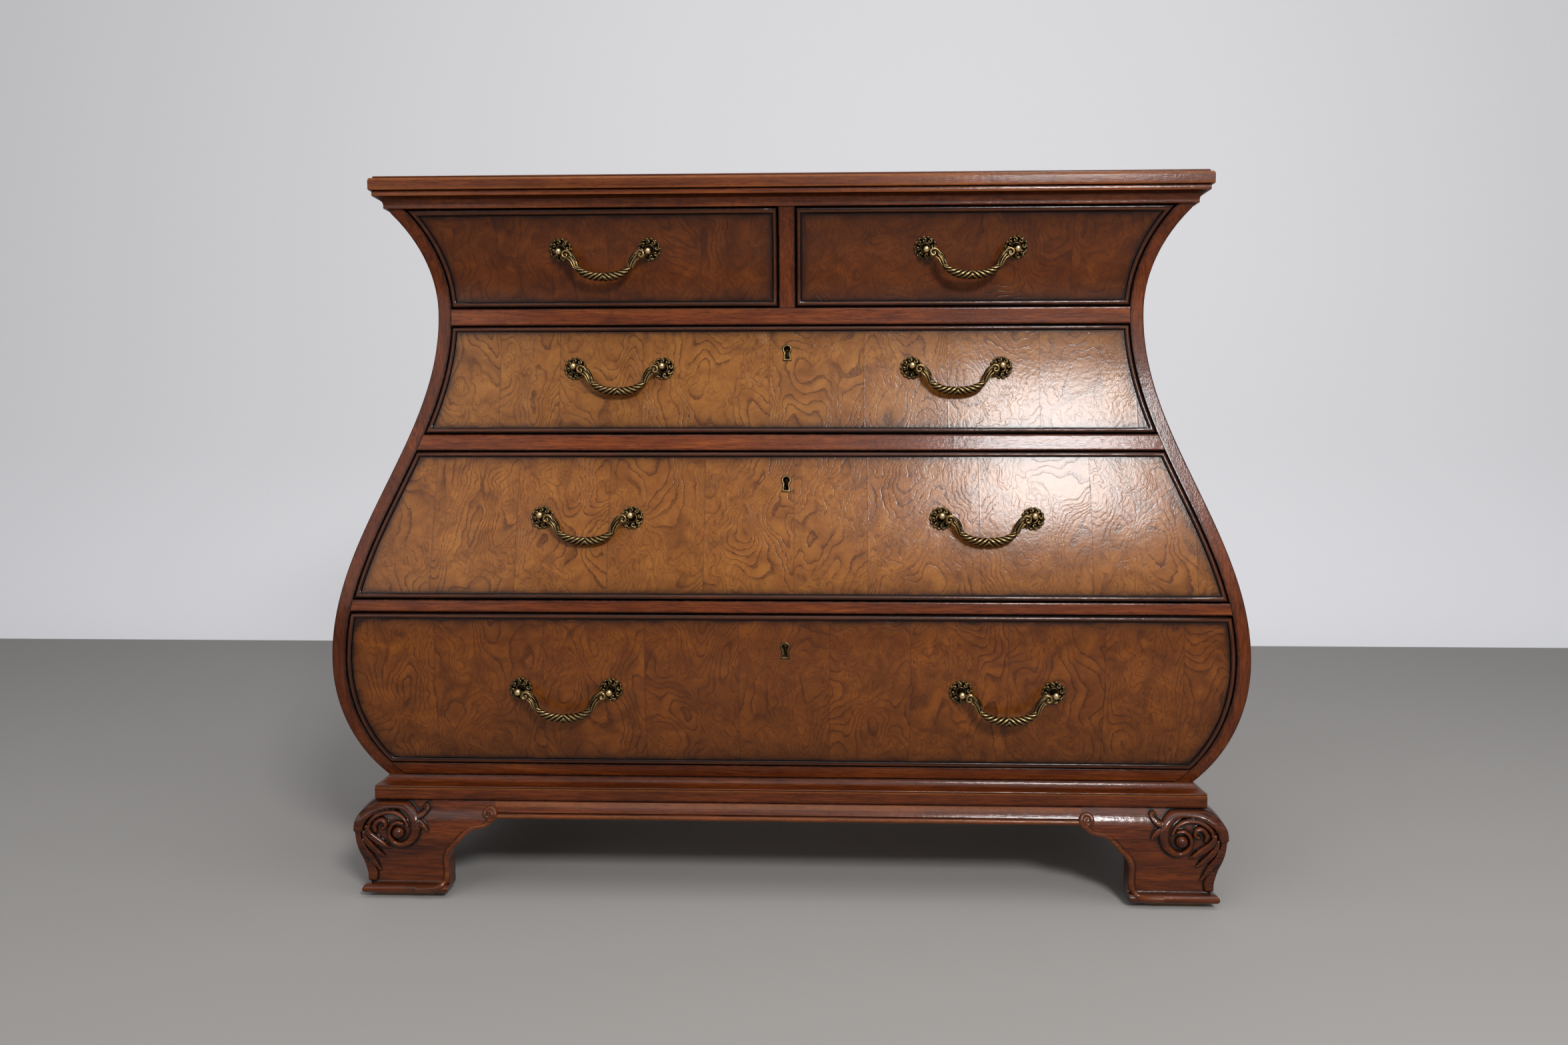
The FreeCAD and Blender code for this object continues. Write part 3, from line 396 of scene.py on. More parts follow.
def placed(name, data):
    """A new object in the scene."""
    obj = bpy.data.objects.new(name, data)
    bpy.context.scene.collection.objects.link(obj)
    return obj


def mark(mesh, name, numbers):
    """Gives each point of a mesh a number under a name."""
    mesh.attributes.new(name, "FLOAT", "POINT").data.foreach_set("value", [float(n) for n in numbers])


def smoothed(mesh, sharp, outwards=True):
    """Welds a mesh and shades it smooth, but for edges sharper than some degrees."""
    shape = bmesh.new()
    shape.from_mesh(mesh)
    bmesh.ops.remove_doubles(shape, verts=shape.verts, dist=weld)
    if outwards:
        bmesh.ops.recalc_face_normals(shape, faces=shape.faces)
    shape.to_mesh(mesh)
    shape.free()
    mesh.shade_smooth()
    mesh.set_sharp_from_angle(angle=math.radians(sharp))


def piece(name, points, faces, materials, body, nodes=(), sharp=40.0, values=None,
          uv=None, picks=None):
    """Makes a mesh piece of points in millimetres and ties it to its body.

    values maps an attribute's name to a number for each point, uv gives each point's place in
    metres, and picks gives each face's place in materials.
    """
    mesh = bpy.data.meshes.new(name)
    mesh.from_pydata([Vector(p) * MM for p in points], [], faces)
    for material in materials:
        mesh.materials.append(material)
    for key, numbers in (values or {}).items():
        mark(mesh, key, numbers)
    if uv:
        layer = mesh.uv_layers.new(name="laid")
        for loop in mesh.loops:
            layer.data[loop.index].uv = uv[loop.vertex_index]
    if picks:
        mesh.polygons.foreach_set("material_index", picks)
    mesh.validate()
    smoothed(mesh, sharp)
    obj = placed(name, mesh)
    if nodes:
        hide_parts(*nodes)
    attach(obj, body)
    return obj


def grid(rows, columns, wrap_rows=False, wrap_columns=False, start=0):
    """Faces of a grid of points laid out row by row."""
    faces = []
    for r in range(rows if wrap_rows else rows - 1):
        for c in range(columns if wrap_columns else columns - 1):
            r2, c2 = (r + 1) % rows, (c + 1) % columns
            corner = (r * columns + c, r * columns + c2, r2 * columns + c2, r2 * columns + c)
            faces.append(tuple(start + n for n in corner))
    return faces


def caps(rows, columns, start=0):
    """First and last row of such a grid as faces of their own."""
    last = start + (rows - 1) * columns
    return [tuple(range(start, start + columns)), tuple(range(last, last + columns))]


def prism(rows, columns, start=0):
    """Faces of a closed outline repeated along a run, with its ends closed."""
    return grid(rows, columns, wrap_columns=True, start=start) + caps(rows, columns, start)


def about(radius, degrees, y):
    """A point at a distance and an angle round the Y axis."""
    angle = math.radians(degrees)
    return (radius * math.cos(angle), y, radius * math.sin(angle))


def arc_points(start, end, rise, count):
    """Points of an arc that rises to the left of its chord, without its end."""
    (x0, y0), (x1, y1) = start, end
    chord = math.hypot(x1 - x0, y1 - y0)
    side = 1 if rise > 0 else -1
    radius = (chord * chord / 4 + rise * rise) / (2 * abs(rise))
    half = math.asin(min(1.0, chord / 2 / radius))
    ux, uy = (x1 - x0) / chord, (y1 - y0) / chord
    nx, ny = -uy * side, ux * side
    cx, cy = (x0 + x1) / 2 + nx * (abs(rise) - radius), (y0 + y1) / 2 + ny * (abs(rise) - radius)
    angles = [-half + 2 * half * n / count for n in range(count)]
    return [(cx + radius * (math.sin(a) * ux + math.cos(a) * nx),
             cy + radius * (math.sin(a) * uy + math.cos(a) * ny)) for a in angles]


def rounded(points, radius, steps=3):
    """A closed outline with its corners rounded; a point may bring its own radius."""
    out = []
    for n, point in enumerate(points):
        here = Vector(point[:2])
        before, after = Vector(points[n - 1][:2]) - here, Vector(points[(n + 1) % len(points)][:2]) - here
        r = min(point[2] if len(point) > 2 else radius, before.length * 0.45, after.length * 0.45)
        a, b = here + before.normalized() * r, here + after.normalized() * r
        for k in range(steps + 1):
            t = k / steps
            out.append(tuple(a * (1 - t) ** 2 + here * 2 * t * (1 - t) + b * t * t))
    return out


def smooth_line(knots, steps):
    """Points along a smooth curve through knots of any number of values."""
    knots = np.array(knots, float)
    if len(knots) < 3:
        return knots
    ends = np.vstack([2 * knots[0] - knots[1], knots, 2 * knots[-1] - knots[-2]])
    out = []
    for n in range(1, len(ends) - 2):
        p0, p1, p2, p3 = ends[n - 1:n + 3]
        for t in np.arange(steps) / steps:
            out.append(0.5 * (2 * p1 + (p2 - p0) * t + (2 * p0 - 5 * p1 + 4 * p2 - p3) * t ** 2
                              + (3 * p1 - p0 - 3 * p2 + p3) * t ** 3))
    return np.array(out + [knots[-1]])


# Lines of round or fluted section, repeated round an axis: bails, rosettes and carved beads.

def carried(tree, name):
    """The value that a shape's points carry under a name."""
    return add(tree, "GeometryNodeInputNamedAttribute", {"Name": name}, data_type="FLOAT")


def marked(tree, shape, name, value):
    """A shape whose points carry a value under a name."""
    return add(tree, "GeometryNodeStoreNamedAttribute", {"Geometry": shape, "Name": name, "Value": value},
               data_type="FLOAT", domain="POINT")


def line_tree():
    """Sweeps a fluted section along lines, and repeats the result round the Y axis."""
    tree = bpy.data.node_groups.new("swept_lines", "GeometryNodeTree")
    for name, kind, way in (("Geometry", "Geometry", "INPUT"), ("Flutes", "Int", "INPUT"),
                            ("Flute Depth", "Float", "INPUT"), ("Section Points", "Int", "INPUT"),
                            ("Repeats", "Int", "INPUT"), ("Finish", "Material", "INPUT"),
                            ("Geometry", "Geometry", "OUTPUT")):
        tree.interface.new_socket(name=name, in_out=way, socket_type=f"NodeSocket{kind}")
    given = add(tree, "NodeGroupInput").node.outputs
    line = add(tree, "GeometryNodeMeshToCurve", {0: given["Geometry"]})
    line = add(tree, "GeometryNodeSetCurveTilt", {"Curve": line, "Tilt": carried(tree, "turn")})
    circle = {"Resolution": given["Section Points"], "Radius": 1.0}
    section = add(tree, "GeometryNodeCurvePrimitiveCircle", circle)
    place = add(tree, "GeometryNodeInputPosition")
    across, up, _ = add(tree, "ShaderNodeSeparateXYZ", {0: place}).node.outputs
    angle = maths(tree, "ARCTAN2", up, across)
    wave = maths(tree, "MULTIPLY", angle, maths(tree, "MULTIPLY", given["Flutes"], 0.5))
    lobe = maths(tree, "POWER", maths(tree, "ABSOLUTE", maths(tree, "SINE", wave)), 0.65)
    cut = maths(tree, "MULTIPLY", maths(tree, "SUBTRACT", 1.0, lobe), given["Flute Depth"])
    scale = maths(tree, "SUBTRACT", 1.0, cut)
    moved = add(tree, "ShaderNodeVectorMath", {0: place, "Scale": scale}, operation="SCALE")
    section = marked(tree, section, "dark", cut)
    section = add(tree, "GeometryNodeSetPosition", {"Geometry": section, "Position": moved})
    swept = add(tree, "GeometryNodeCurveToMesh", {"Curve": line, "Profile Curve": section,
                                                  "Scale": carried(tree, "size"), "Fill Caps": True})
    relief = maths(tree, "MULTIPLY_ADD", carried(tree, "dark"), -4.0, carried(tree, "shine"), clamp=True)
    swept = marked(tree, swept, "relief", relief)
    centres = add(tree, "GeometryNodePoints", {"Count": given["Repeats"]})
    step = maths(tree, "DIVIDE", 2 * math.pi, given["Repeats"])
    spin = maths(tree, "MULTIPLY", add(tree, "GeometryNodeInputIndex"), step)
    spin = add(tree, "ShaderNodeCombineXYZ", {"Y": spin})
    copies = {"Points": centres, "Instance": swept, "Rotation": spin}
    copies = add(tree, "GeometryNodeInstanceOnPoints", copies)
    real = add(tree, "GeometryNodeRealizeInstances", {0: copies})
    done = add(tree, "GeometryNodeSetMaterial", {"Geometry": real, "Material": given["Finish"]})
    add(tree, "NodeGroupOutput", {0: done})
    return tree


swept_lines = line_tree()


def sweep(lines, flutes=0, flute_depth=0.0, section_points=10, repeats=1, finish=None):
    """Points, faces and relief of swept lines; a line's knots are (x, y, z, size, turn, shine)."""
    mesh = bpy.data.meshes.new("line")
    points = [knot for line in lines for knot in line]
    edges, start = [], 0
    for line in lines:
        edges += [(start + n, start + n + 1) for n in range(len(line) - 1)]
        start += len(line)
    mesh.from_pydata([Vector(p[:3]) for p in points], edges, [])
    for place, name in ((3, "size"), (4, "turn"), (5, "shine")):
        mark(mesh, name, [p[place] for p in points])
    obj = placed("line", mesh)
    modifier = obj.modifiers.new("sweep", "NODES")
    modifier.node_group = swept_lines
    given = {"Flutes": flutes, "Flute Depth": flute_depth, "Section Points": section_points,
             "Repeats": repeats, "Finish": finish or brass}
    for socket in swept_lines.interface.items_tree:
        if socket.in_out == "INPUT" and socket.name in given:
            modifier[socket.identifier] = given[socket.name]
    bpy.context.view_layer.update()
    done = bpy.data.meshes.new_from_object(obj.evaluated_get(bpy.context.evaluated_depsgraph_get()))
    result = ([tuple(v.co) for v in done.vertices], [tuple(p.vertices) for p in done.polygons],
              [a.value for a in done.attributes["relief"].data])
    bpy.data.objects.remove(obj)
    for used in (mesh, done):
        bpy.data.meshes.remove(used)
    return result


def joined(*parts):
    """Several lots of points, faces and values as one."""
    points, faces, values = [], [], []
    for more_points, more_faces, more_values in parts:
        faces += [tuple(len(points) + n for n in face) for face in more_faces]
        points += more_points
        values += more_values
    return points, faces, values


# Case.

def moulding(name, section, corner_x, corner_y, y_end, node, materials, board=False):
    """A section of (outward distance, level, wear and painted light), run mitred round the front corners. A
    board's section is open, and flat faces under, over and behind it close the shape."""
    points, wear_and_painted_light = [], []
    for p, z, worn_and_painted_light in section:
        x, y = corner_x + p, corner_y - p
        points += [(x, y_end, z), (x, y, z), (-x, y, z), (-x, y_end, z)]
        wear_and_painted_light += [worn_and_painted_light] * 4
    rows = len(section)
    right, left = [tuple(4 * n + k for n in range(rows)) for k in (0, 3)]
    faces = grid(rows, 4, wrap_rows=not board)
    picks = [(0, 1, 0)[n % 3] for n in range(len(faces))]
    faces += caps(rows, 4) + [right + left[::-1]] if board else [right, left]
    picks += [1] * 3 if board else [0] * 2
    piece(name, points, faces, materials, "carcase", [node], values={"wear_and_painted_light": wear_and_painted_light}, picks=picks, sharp=50)


def crown():
    """Fillet over a hollow over a thin edge, dark with wax and painted shade where they meet."""
    low, top = frame_head, frame_top
    brow, edge, foot, out = top - 7.0, 2.0, 2.5, 13.5
    # Wear and painted light: the hollow is in painted shade, and the thin edge has a painted highlight and
    # rubbed colour.
    section = [(0.0, low, 1.0), (foot - 0.4, low, 0.4), (foot, low + 0.5, 0.0)]
    section += [(p, z, 0.5) for p, z in arc_points((foot, low + edge), (out - edge, brow), 3.0, 9)]
    section += [(out - edge, brow, 1.0), (out - 0.6, brow, 0.7), (out - 0.1, brow + 0.5, -0.4)]
    section += [(out, brow + 3.0, 0.0), (out - 0.2, top - 0.8, 0.6), (out - 0.8, top, 1.0), (0.0, top, 1.0)]
    moulding("crown_moulding", section, head_x, head_y, case_back, "top_moulding", [rail_y, rail_x])


def slab():
    """Top with a rounded edge, a lip set back from it and a flat board between."""
    low, top, lip, inner = frame_top, frame_top + slab_edge, 4.7, 30.0
    # Wear and painted light: the rounded edges and the lip are painted lighter, rubbed and as a highlight;
    # the underside by the edge and the corner at the lip are in painted shade with wax.
    section = [(-inner, low, 1.0), (-1.4, low, 0.9), (-0.4, low + 0.3, 0.2), (0.0, low + 1.3, -0.5),
               (0.0, low + 3.0, 0.0), (0.0, top - 4.4, 0.0), (-0.2, top - 2.9, -0.5),
               (-0.9, top - 1.2, -0.6), (-2.0, top - 0.3, 0.0), (-3.4, top, 0.5), (-lip, top, 1.0),
               (-lip, chest_top - 1.7, 0.6), (-lip - 0.4, chest_top - 0.6, -0.5),
               (-lip - 1.5, chest_top, -0.2), (-lip - 9, chest_top, 0.0)]
    moulding("top_slab", section, head_x + side_overhang, head_y - side_overhang, back_y, "top_board",
             [top_y, top_x], board=True)


def base():
    """Hollow over a round nose over a flat band, with a line under the nose rubbed bright and painted as a
    highlight.
    """
    low, inner = corners("base_moulding")[0].z, 45.0
    out, band = base_out, low + 17.5
    brow, nose = (out - 2.0, band + 2.0), (out + 0.2, band + 0.2)
    # Painted shade and wax where the hollow meets the case, under the nose and at the foot of the band; the
    # nose is painted lighter as a highlight.
    section = [(-inner, low, 1.0), (-inner, frame_foot, 1.0)]
    section += [(p, z, 0.9 if z > frame_foot - 1 else 0.0)
                for p, z in arc_points((0.0, frame_foot), brow, -3.0, 10)]
    section += [(p, z, 0.0) for p, z in arc_points(brow, nose, 0.6, 4)]
    section += [(*nose, -0.6), (out - 0.6, band - 0.3, 0.9), (out - 0.6, band - 1.0, 0.9),
                (out, band - 1.4, -1.0), (out, band - 2.2, -0.3), (out, band - 4.0, 0.0),
                (out, low + 4.0, 0.0), (out, low + 1.2, 0.5), (out - 0.9, low, 1.0)]
    moulding("base_ogee", section, foot_x, foot_y, case_back, "base_moulding", [base_y, base_x])
    x, y = foot_x - inner, case_back - inner
    rail = ((-x, y), (x, y), (x, case_back), (-x, case_back))
    points = [(*place, z) for z in (low, frame_foot) for place in rail]
    piece("base_back_rail", points, prism(2, 4), [poplar_x], "carcase")


def upright(name, levels, x_out, x_in, y_front, y_back, mirror, node, edge, materials):
    """A swelling upright board whose four limits are functions of the level, darker with wax and painted
    shade along its inner edge, beside the drawers, and along its outer edge too where its edges are rounded."""
    points, wear_and_painted_light, inner_wax_and_shade, outer_wax_and_shade = [], [], 5.0, 6.0
    for z in levels:
        left, right, front, back = x_in(z), x_out(z), y_front(z), y_back(z)
        face = [(x, front, 0.2) for x in (left + 2.6, left + 5.5, right - 5.0, right - 2.4)]
        outline = rounded([(right, front), (right, back, 0.3), (left, back, 0.3), (left, front)] + face, edge)
        points += [(x * mirror, y, z) for x, y in outline]
        wear_and_painted_light += [max(0.0, 1.0 - (x - left) / inner_wax_and_shade, 0.6 - (right - x) / outer_wax_and_shade if edge > 1 else 0.0)
                 for x, _ in outline]
    faces = prism(len(levels), len(points) // len(levels))
    piece(name, points, faces, materials, "carcase", [node], values={"wear_and_painted_light": wear_and_painted_light})


def uprights():
    """Corner stiles, and the side panels behind them."""
    levels = list(np.linspace(frame_foot, frame_top, 90))
    behind, within = inside(front_line, stile_depth), inside(side_line, stile_face)
    for side, mirror in both_sides:
        upright(f"stile_{side}", levels, side_line, within, lambda z: waist_y - front_line(z),
                lambda z: waist_y - behind(z), mirror, f"front_stile_{side}", 1.8, [stile_z])
        upright(f"side_{side}", levels, side_line, within, lambda z: waist_y - behind(z),
                lambda z: case_back, mirror, f"side_panel_{side}", 0.3, [rail_y])


def rail_levels():
    """Lowest and highest level of each rail, from the drawers' fronts."""
    spans, below = [], frame_foot
    for name in ("drawer_4", "drawer_3", "drawer_2", "drawer_1_right"):
        low, high = corners(name + "_front")
        spans.append((below, low.z - drawer_gap))
        below = high.z + drawer_gap
    return spans + [(below, frame_top)]


def rails():
    """Rails between the stiles, their edges eased and dark beside the drawers, with wax and painted shade of
    the gaps, and a mortise over the bolt of each lock."""
    within, behind = inside(side_line, stile_face), inside(front_line, stile_depth)
    points, faces, wear_and_painted_light = [], [], []
    edge, dark, room = 1.3, 3.2, 0.4
    bolts = (None, "drawer_4_bolt", "drawer_3_bolt", "drawer_2_bolt", None)
    for (low, high), bolt in zip(rail_levels(), bolts):
        near = (0.0, 0.35 * edge, edge, 3.0)
        levels = sorted([low + rise for rise in near] + [high - fall for fall in near]
                        + list(np.linspace(low, high, 7))[1:-1])
        drop = [max(0.0, edge - min(z - low, high - z)) ** 2 / edge for z in levels]
        face = [(waist_y - front_line(z) + d, z) for z, d in zip(levels, drop)]
        shut = face + [(waist_y - behind(high), high), (waist_y - behind(low), low)]
        stations = [(share, 0.0, shut) for share in (-1.0, -0.5, 0.0, 0.5, 1.0)]
        if bolt:
            first, last = corners(bolt)
            half, roof = (last.x - first.x) / 2 + room, last.z + bolt_throw + room
            front, back = first.y - room, last.y + room
            open_up = shut + [(back, low), (back, roof), (front, roof), (front, low)]
            shut = shut + [(back, low), (back - room, low), (front + room, low), (front, low)]
            stations = [(-1.0, 0.0, shut), (-0.5, 0.0, shut), (0.0, -half - room, shut),
                        (0.0, -half, open_up), (0.0, half, open_up), (0.0, half + room, shut),
                        (0.5, 0.0, shut), (1.0, 0.0, shut)]
        start, count = len(points), len(shut)
        for share, offset, outline in stations:
            points += [(share * within(z) + offset, y, z) for y, z in outline]
            # Painted shade and wax: darker within a few millimetres of the gaps above and below.
            wear_and_painted_light += [max(0.0, 1.0 - min(z - low, high - z) / dark) for _, z in outline]
        faces += prism(len(stations), count, start)
    piece("front_rails_polished", points, faces, [rail_x], "carcase", ["front_rails"], values={"wear_and_painted_light": wear_and_painted_light})


def divider():
    """Short upright between the two small drawers."""
    low, high = corners("drawer_divider")
    levels = list(np.linspace(low.z, high.z, 14))
    behind = inside(front_line, stile_depth)
    points, wear_and_painted_light, half, edge = [], [], high.x, 1.2
    for z in levels:
        y, back = waist_y - front_line(z), waist_y - behind(z)
        outline = rounded([(-half, y), (3.0 - half, y, 0.2), (half - 3.0, y, 0.2), (half, y),
                           (half, back), (-half, back)], edge)
        points += [(x, y, z) for x, y in outline]
        # Painted shade and wax on the rounded side edges beside the drawer gaps.
        wear_and_painted_light += [0.8 if abs(x) > half - edge - 0.1 else 0.0 for x, _ in outline]
    faces = prism(len(levels), len(points) // len(levels))
    piece("divider_polished", points, faces, [stile_z], "carcase", ["drawer_divider"], values={"wear_and_painted_light": wear_and_painted_light})


# Feet.

foot_low, foot_top = corners("front_foot_right")[0].z, corners("front_foot_right")[1].z
foot_belly, foot_belly_drop, foot_waist = 29.4, 34.0, 18.2
toe_out, toe_height, toe_cove = 29.0, 12.0, 3.0
foot_back = 2.0
corner_x, corner_y = foot_x + foot_belly, foot_y - foot_belly
bracket_length, apron_height = 180.0, 21.5
ankle, heel = 117.0, 10.0
bead_half = 3.6
volute = (bracket_length - 6.5, foot_low + 110.0)


def ogee_brow(z):
    """Outward distance of the round upper face that feet and apron share."""
    over = foot_belly - base_out
    radius = (over ** 2 + foot_belly_drop ** 2) / (2 * over)
    return foot_belly - radius + math.sqrt(radius ** 2 - (z - foot_top + foot_belly_drop) ** 2)


def foot_profile():
    """The foot's face from its top to the floor, as outward distance and level."""
    belly, waist = foot_top - foot_belly_drop, foot_low + toe_height + toe_cove
    half_p, half_z = (foot_belly - foot_waist) / 2, (belly - waist) / 2
    bend = (half_p ** 2 + half_z ** 2) / (2 * half_p)

    def face(z):
        if z >= belly:
            return ogee_brow(z)
        if z >= belly - half_z:
            return foot_belly - bend + math.sqrt(bend ** 2 - (belly - z) ** 2)
        return foot_waist + bend - math.sqrt(bend ** 2 - (z - waist) ** 2)

    profile = [(face(z), z) for z in np.linspace(foot_top, waist, 138)]
    nose = toe_height / 2
    profile += arc_points((foot_waist, waist), (toe_out - nose, foot_low + toe_height), -1.3, 5)
    profile += [(toe_out - nose + nose * math.sin(a), foot_low + nose + nose * math.cos(a))
                for a in np.linspace(0.0, math.pi, 14)]
    return profile


def bracket_edge(z):
    """Distance from the corner to the sawn edge of a bracket at a level."""
    apron = foot_top - apron_height
    if z < foot_low + heel:
        return ankle - heel + math.sqrt(max(0.0, heel ** 2 - (foot_low + heel - z) ** 2))
    outline = [(ankle, foot_low + heel)]
    turns = [(ankle, foot_low + 46), (ankle + 16, foot_low + 71), (ankle + 37, foot_low + 91),
             (bracket_length, apron)]
    for start, end, rise in zip(turns, turns[1:], (3.5, 2.0, -3.5)):
        outline += arc_points(start, end, rise, 8)
    outline += [(bracket_length, apron), (bracket_length, foot_top)]
    return float(np.interp(z, [p[1] for p in outline], [p[0] for p in outline]))


# Strokes of the carving on a foot: its height, whether a vein is cut down its middle, and its run
# as (distance from the corner, level, half width).
carving = [
    (5.6, False, [(1, 96, 4.6), (3, 108, 6.2), (12, 118, 7), (26, 125, 6.6), (42, 127.5, 6.2), (57, 126, 6.2),
                  (70, 117, 6.6), (76, 104, 6.8), (74, 90, 6.2), (67, 79.5, 5.2), (57, 75, 4.4),
                  (48, 77.5, 3.8), (42.5, 84, 3.4), (41, 92, 3.2), (43.5, 100.5, 3.0), (50, 105.5, 2.8),
                  (58, 104.5, 2.4)]),
    (7.4, False, [(52.2, 92, 8.2), (52.7, 92.2, 8.2)]),
    (5.0, False, [(12, 98, 2.4), (15, 107, 3.4), (24, 115, 3.6), (36, 118.5, 3.4), (49, 117, 3.0),
                  (60, 110, 2.4), (65, 101, 1.6)]),
    (5.4, False, [(22, 94, 2.2), (21, 102, 3.4), (27, 108.5, 3.6), (34, 107, 3.2), (35.5, 100.5, 2.6),
                  (31, 98, 2.2)]),
    (5.2, True, [(10, 100, 3.0), (13, 91, 4.6), (21, 83, 5.2), (31, 76, 4.2), (40, 70, 1.4)]),
    (4.8, True, [(6, 92, 3.0), (9, 82, 4.4), (15, 72, 4.8), (23, 64, 3.8), (30, 57, 1.3)]),
    (4.4, True, [(3, 80, 3.0), (6, 68, 4.4), (11, 58, 4.6), (17, 47, 3.6), (23, 37, 1.3)]),
    (4.4, False, [(-2, 100, 4), (-1, 86, 5), (1, 72, 4.8), (4, 58, 4.4), (7, 46, 3.6), (9, 36, 2.0)]),
    (4.2, True, [(9, 50, 2.4), (12, 42, 4.6), (14, 32, 5.2), (13, 22, 4.6), (12, 14, 3.0)]),
    (4.4, False, [(0, 54, 3.0), (1, 42, 4.6), (3, 30, 4.6), (4, 18, 4.0)]),
    (4.8, True, [(70, 116, 3.4), (78, 114, 4.4), (85, 117.5, 4.0), (90, 124, 3.2), (87, 127, 2.0),
                 (84.5, 124, 1.2)]),
    (4.4, True, [(74, 109, 3.2), (81, 106, 4.4), (87, 101, 3.4), (91, 95, 1.3)]),
]
carving_scale = 1.15
full_width = 3.2  # half width from which a stroke has its full height
vein_width = 0.26  # share of a stroke's half width


def relief(s, z):
    """Height of the carving at arrays of places, as the highest of its strokes."""
    height = np.zeros_like(s)
    for high, veined, knots in carving:
        line = smooth_line(knots, 6)
        stroke = np.zeros_like(s)
        for a, b in zip(line, line[1:]):
            run = b[:2] - a[:2]
            share = np.clip(((s - a[0]) * run[0] + (z - a[1]) * run[1]) / max(1e-9, run @ run), 0, 1)
            away = np.hypot(s - a[0] - share * run[0], z - a[1] - share * run[1])
            width = a[2] + share * (b[2] - a[2])
            across = np.clip(away / width, 0, 1)
            ridge = np.sqrt(1 - across ** 2) * np.minimum(1.0, width / full_width)
            if veined:
                ridge = ridge * (1 - 0.5 * np.exp(-(across / vein_width) ** 2))
            stroke = np.maximum(stroke, ridge)
        height = np.maximum(height, stroke * high * carving_scale)
    return height


def blurred(field, rounds):
    """An array smoothed by averaging each value with its neighbours, several times over."""
    for _ in range(rounds):
        wide = np.pad(field, 1, mode="edge")
        field = (wide[:-2, 1:-1] + wide[2:, 1:-1] + wide[1:-1, :-2] + wide[1:-1, 2:] + 2 * field) / 6
    return field


def front_foot(side, mirror):
    """A mitred ogee foot with its carved corner, as one closed shell."""
    profile = foot_profile()
    carved, fine, coarse = 106.0, 132, 24  # reach of the carving, and points within and beyond it
    shares = []
    for p, z in profile:
        low_s, high_s = foot_belly - p, bracket_edge(z)
        shares.append([low_s + (carved - low_s) * n / fine for n in range(fine)]
                      + [carved + (high_s - carved) * n / coarse for n in range(coarse + 1)])
    s = np.array(shares)
    p, z = [np.repeat(np.array(column)[:, None], s.shape[1], axis=1) for column in zip(*profile)]
    toe_top = foot_low + toe_height
    height = relief(s, z) * np.clip((z - toe_top - 1) / 4, 0, 1) * np.clip((foot_top - z) / 2.5, 0, 1)
    # Wax and painted shade lie in creases, beside raised work, along the bead, under the base, in the groove
    # over the toe and in the volute's hollow, and the carved area is darker as a whole; what stands out is
    # rubbed lighter, with a painted highlight.
    bend = sum(np.gradient(np.gradient(height, axis=k), axis=k) for k in (0, 1))
    wear_and_painted_light = np.clip(bend * 1.3, 0, 1) - np.clip(-bend * 0.9 - 0.2, 0, 0.4)
    # Painted shade in the low ground beside the strokes, as a blur of the carving's height.
    wear_and_painted_light += np.clip((blurred(height, 24) - height) * 0.9, 0, 0.9)
    wear_and_painted_light += np.clip(blurred(height, 60) * 0.12, 0, 0.3)
    wear_and_painted_light += np.clip(1 - (foot_top - z) / 2.0, 0, 1) * 0.8
    wear_and_painted_light += np.clip(1 - np.abs(z - toe_top - 1.2) / 2.2, 0, 1) * 0.9
    beside = (s[:, -1:] - s - 2.3 * bead_half) / 1.6
    wear_and_painted_light += np.exp(-beside ** 2) * np.where((z > toe_top) & (z < foot_low + 116), 0.8, 0.0)
    wear_and_painted_light += np.exp(-(np.hypot(s - volute[0], z - volute[1]) / 8.5) ** 8) * 0.8
    ahead = p + height
    points, values = [], []
    columns = s.shape[1]
    for r in range(len(profile)):
        points += [(foot_x + ahead[r, c], corner_y + s[r, c], z[r, c]) for c in range(columns - 1, 0, -1)]
        points.append((foot_x + ahead[r, 0], foot_y - ahead[r, 0], z[r, 0]))
        points += [(corner_x - s[r, c], foot_y - ahead[r, c], z[r, c]) for c in range(1, columns)]
        values += list(wear_and_painted_light[r, :0:-1]) + list(wear_and_painted_light[r])
    width, rows = 2 * columns - 1, len(profile)
    faces = grid(rows, width)
    back = len(points)
    x_back, y_back = foot_x - foot_back, foot_y + foot_back
    for r in range(rows):
        level, edge = z[r, 0], s[r, -1]
        points += [(x_back, corner_y + edge, level), (x_back, y_back, level),
                   (corner_x - edge, y_back, level)]
        values += [0.5] * 3
    faces += grid(rows, 3, start=back)
    for r in range(rows - 1):
        faces.append((r * width, (r + 1) * width, back + 3 * (r + 1), back + 3 * r))
        faces.append(((r + 1) * width - 1, (r + 2) * width - 1, back + 3 * (r + 1) + 2, back + 3 * r + 2))
    for r in (0, rows - 1):
        faces.append(tuple(r * width + c for c in range(width)) + tuple(back + 3 * r + n for n in (2, 1, 0)))
    points = [(x * mirror, y, level) for x, y, level in points]
    piece(f"foot_{side}_carved", points, faces, [foot_wood], "carcase", [f"front_foot_{side}"],
          values={"wear_and_painted_light": values}, sharp=60)


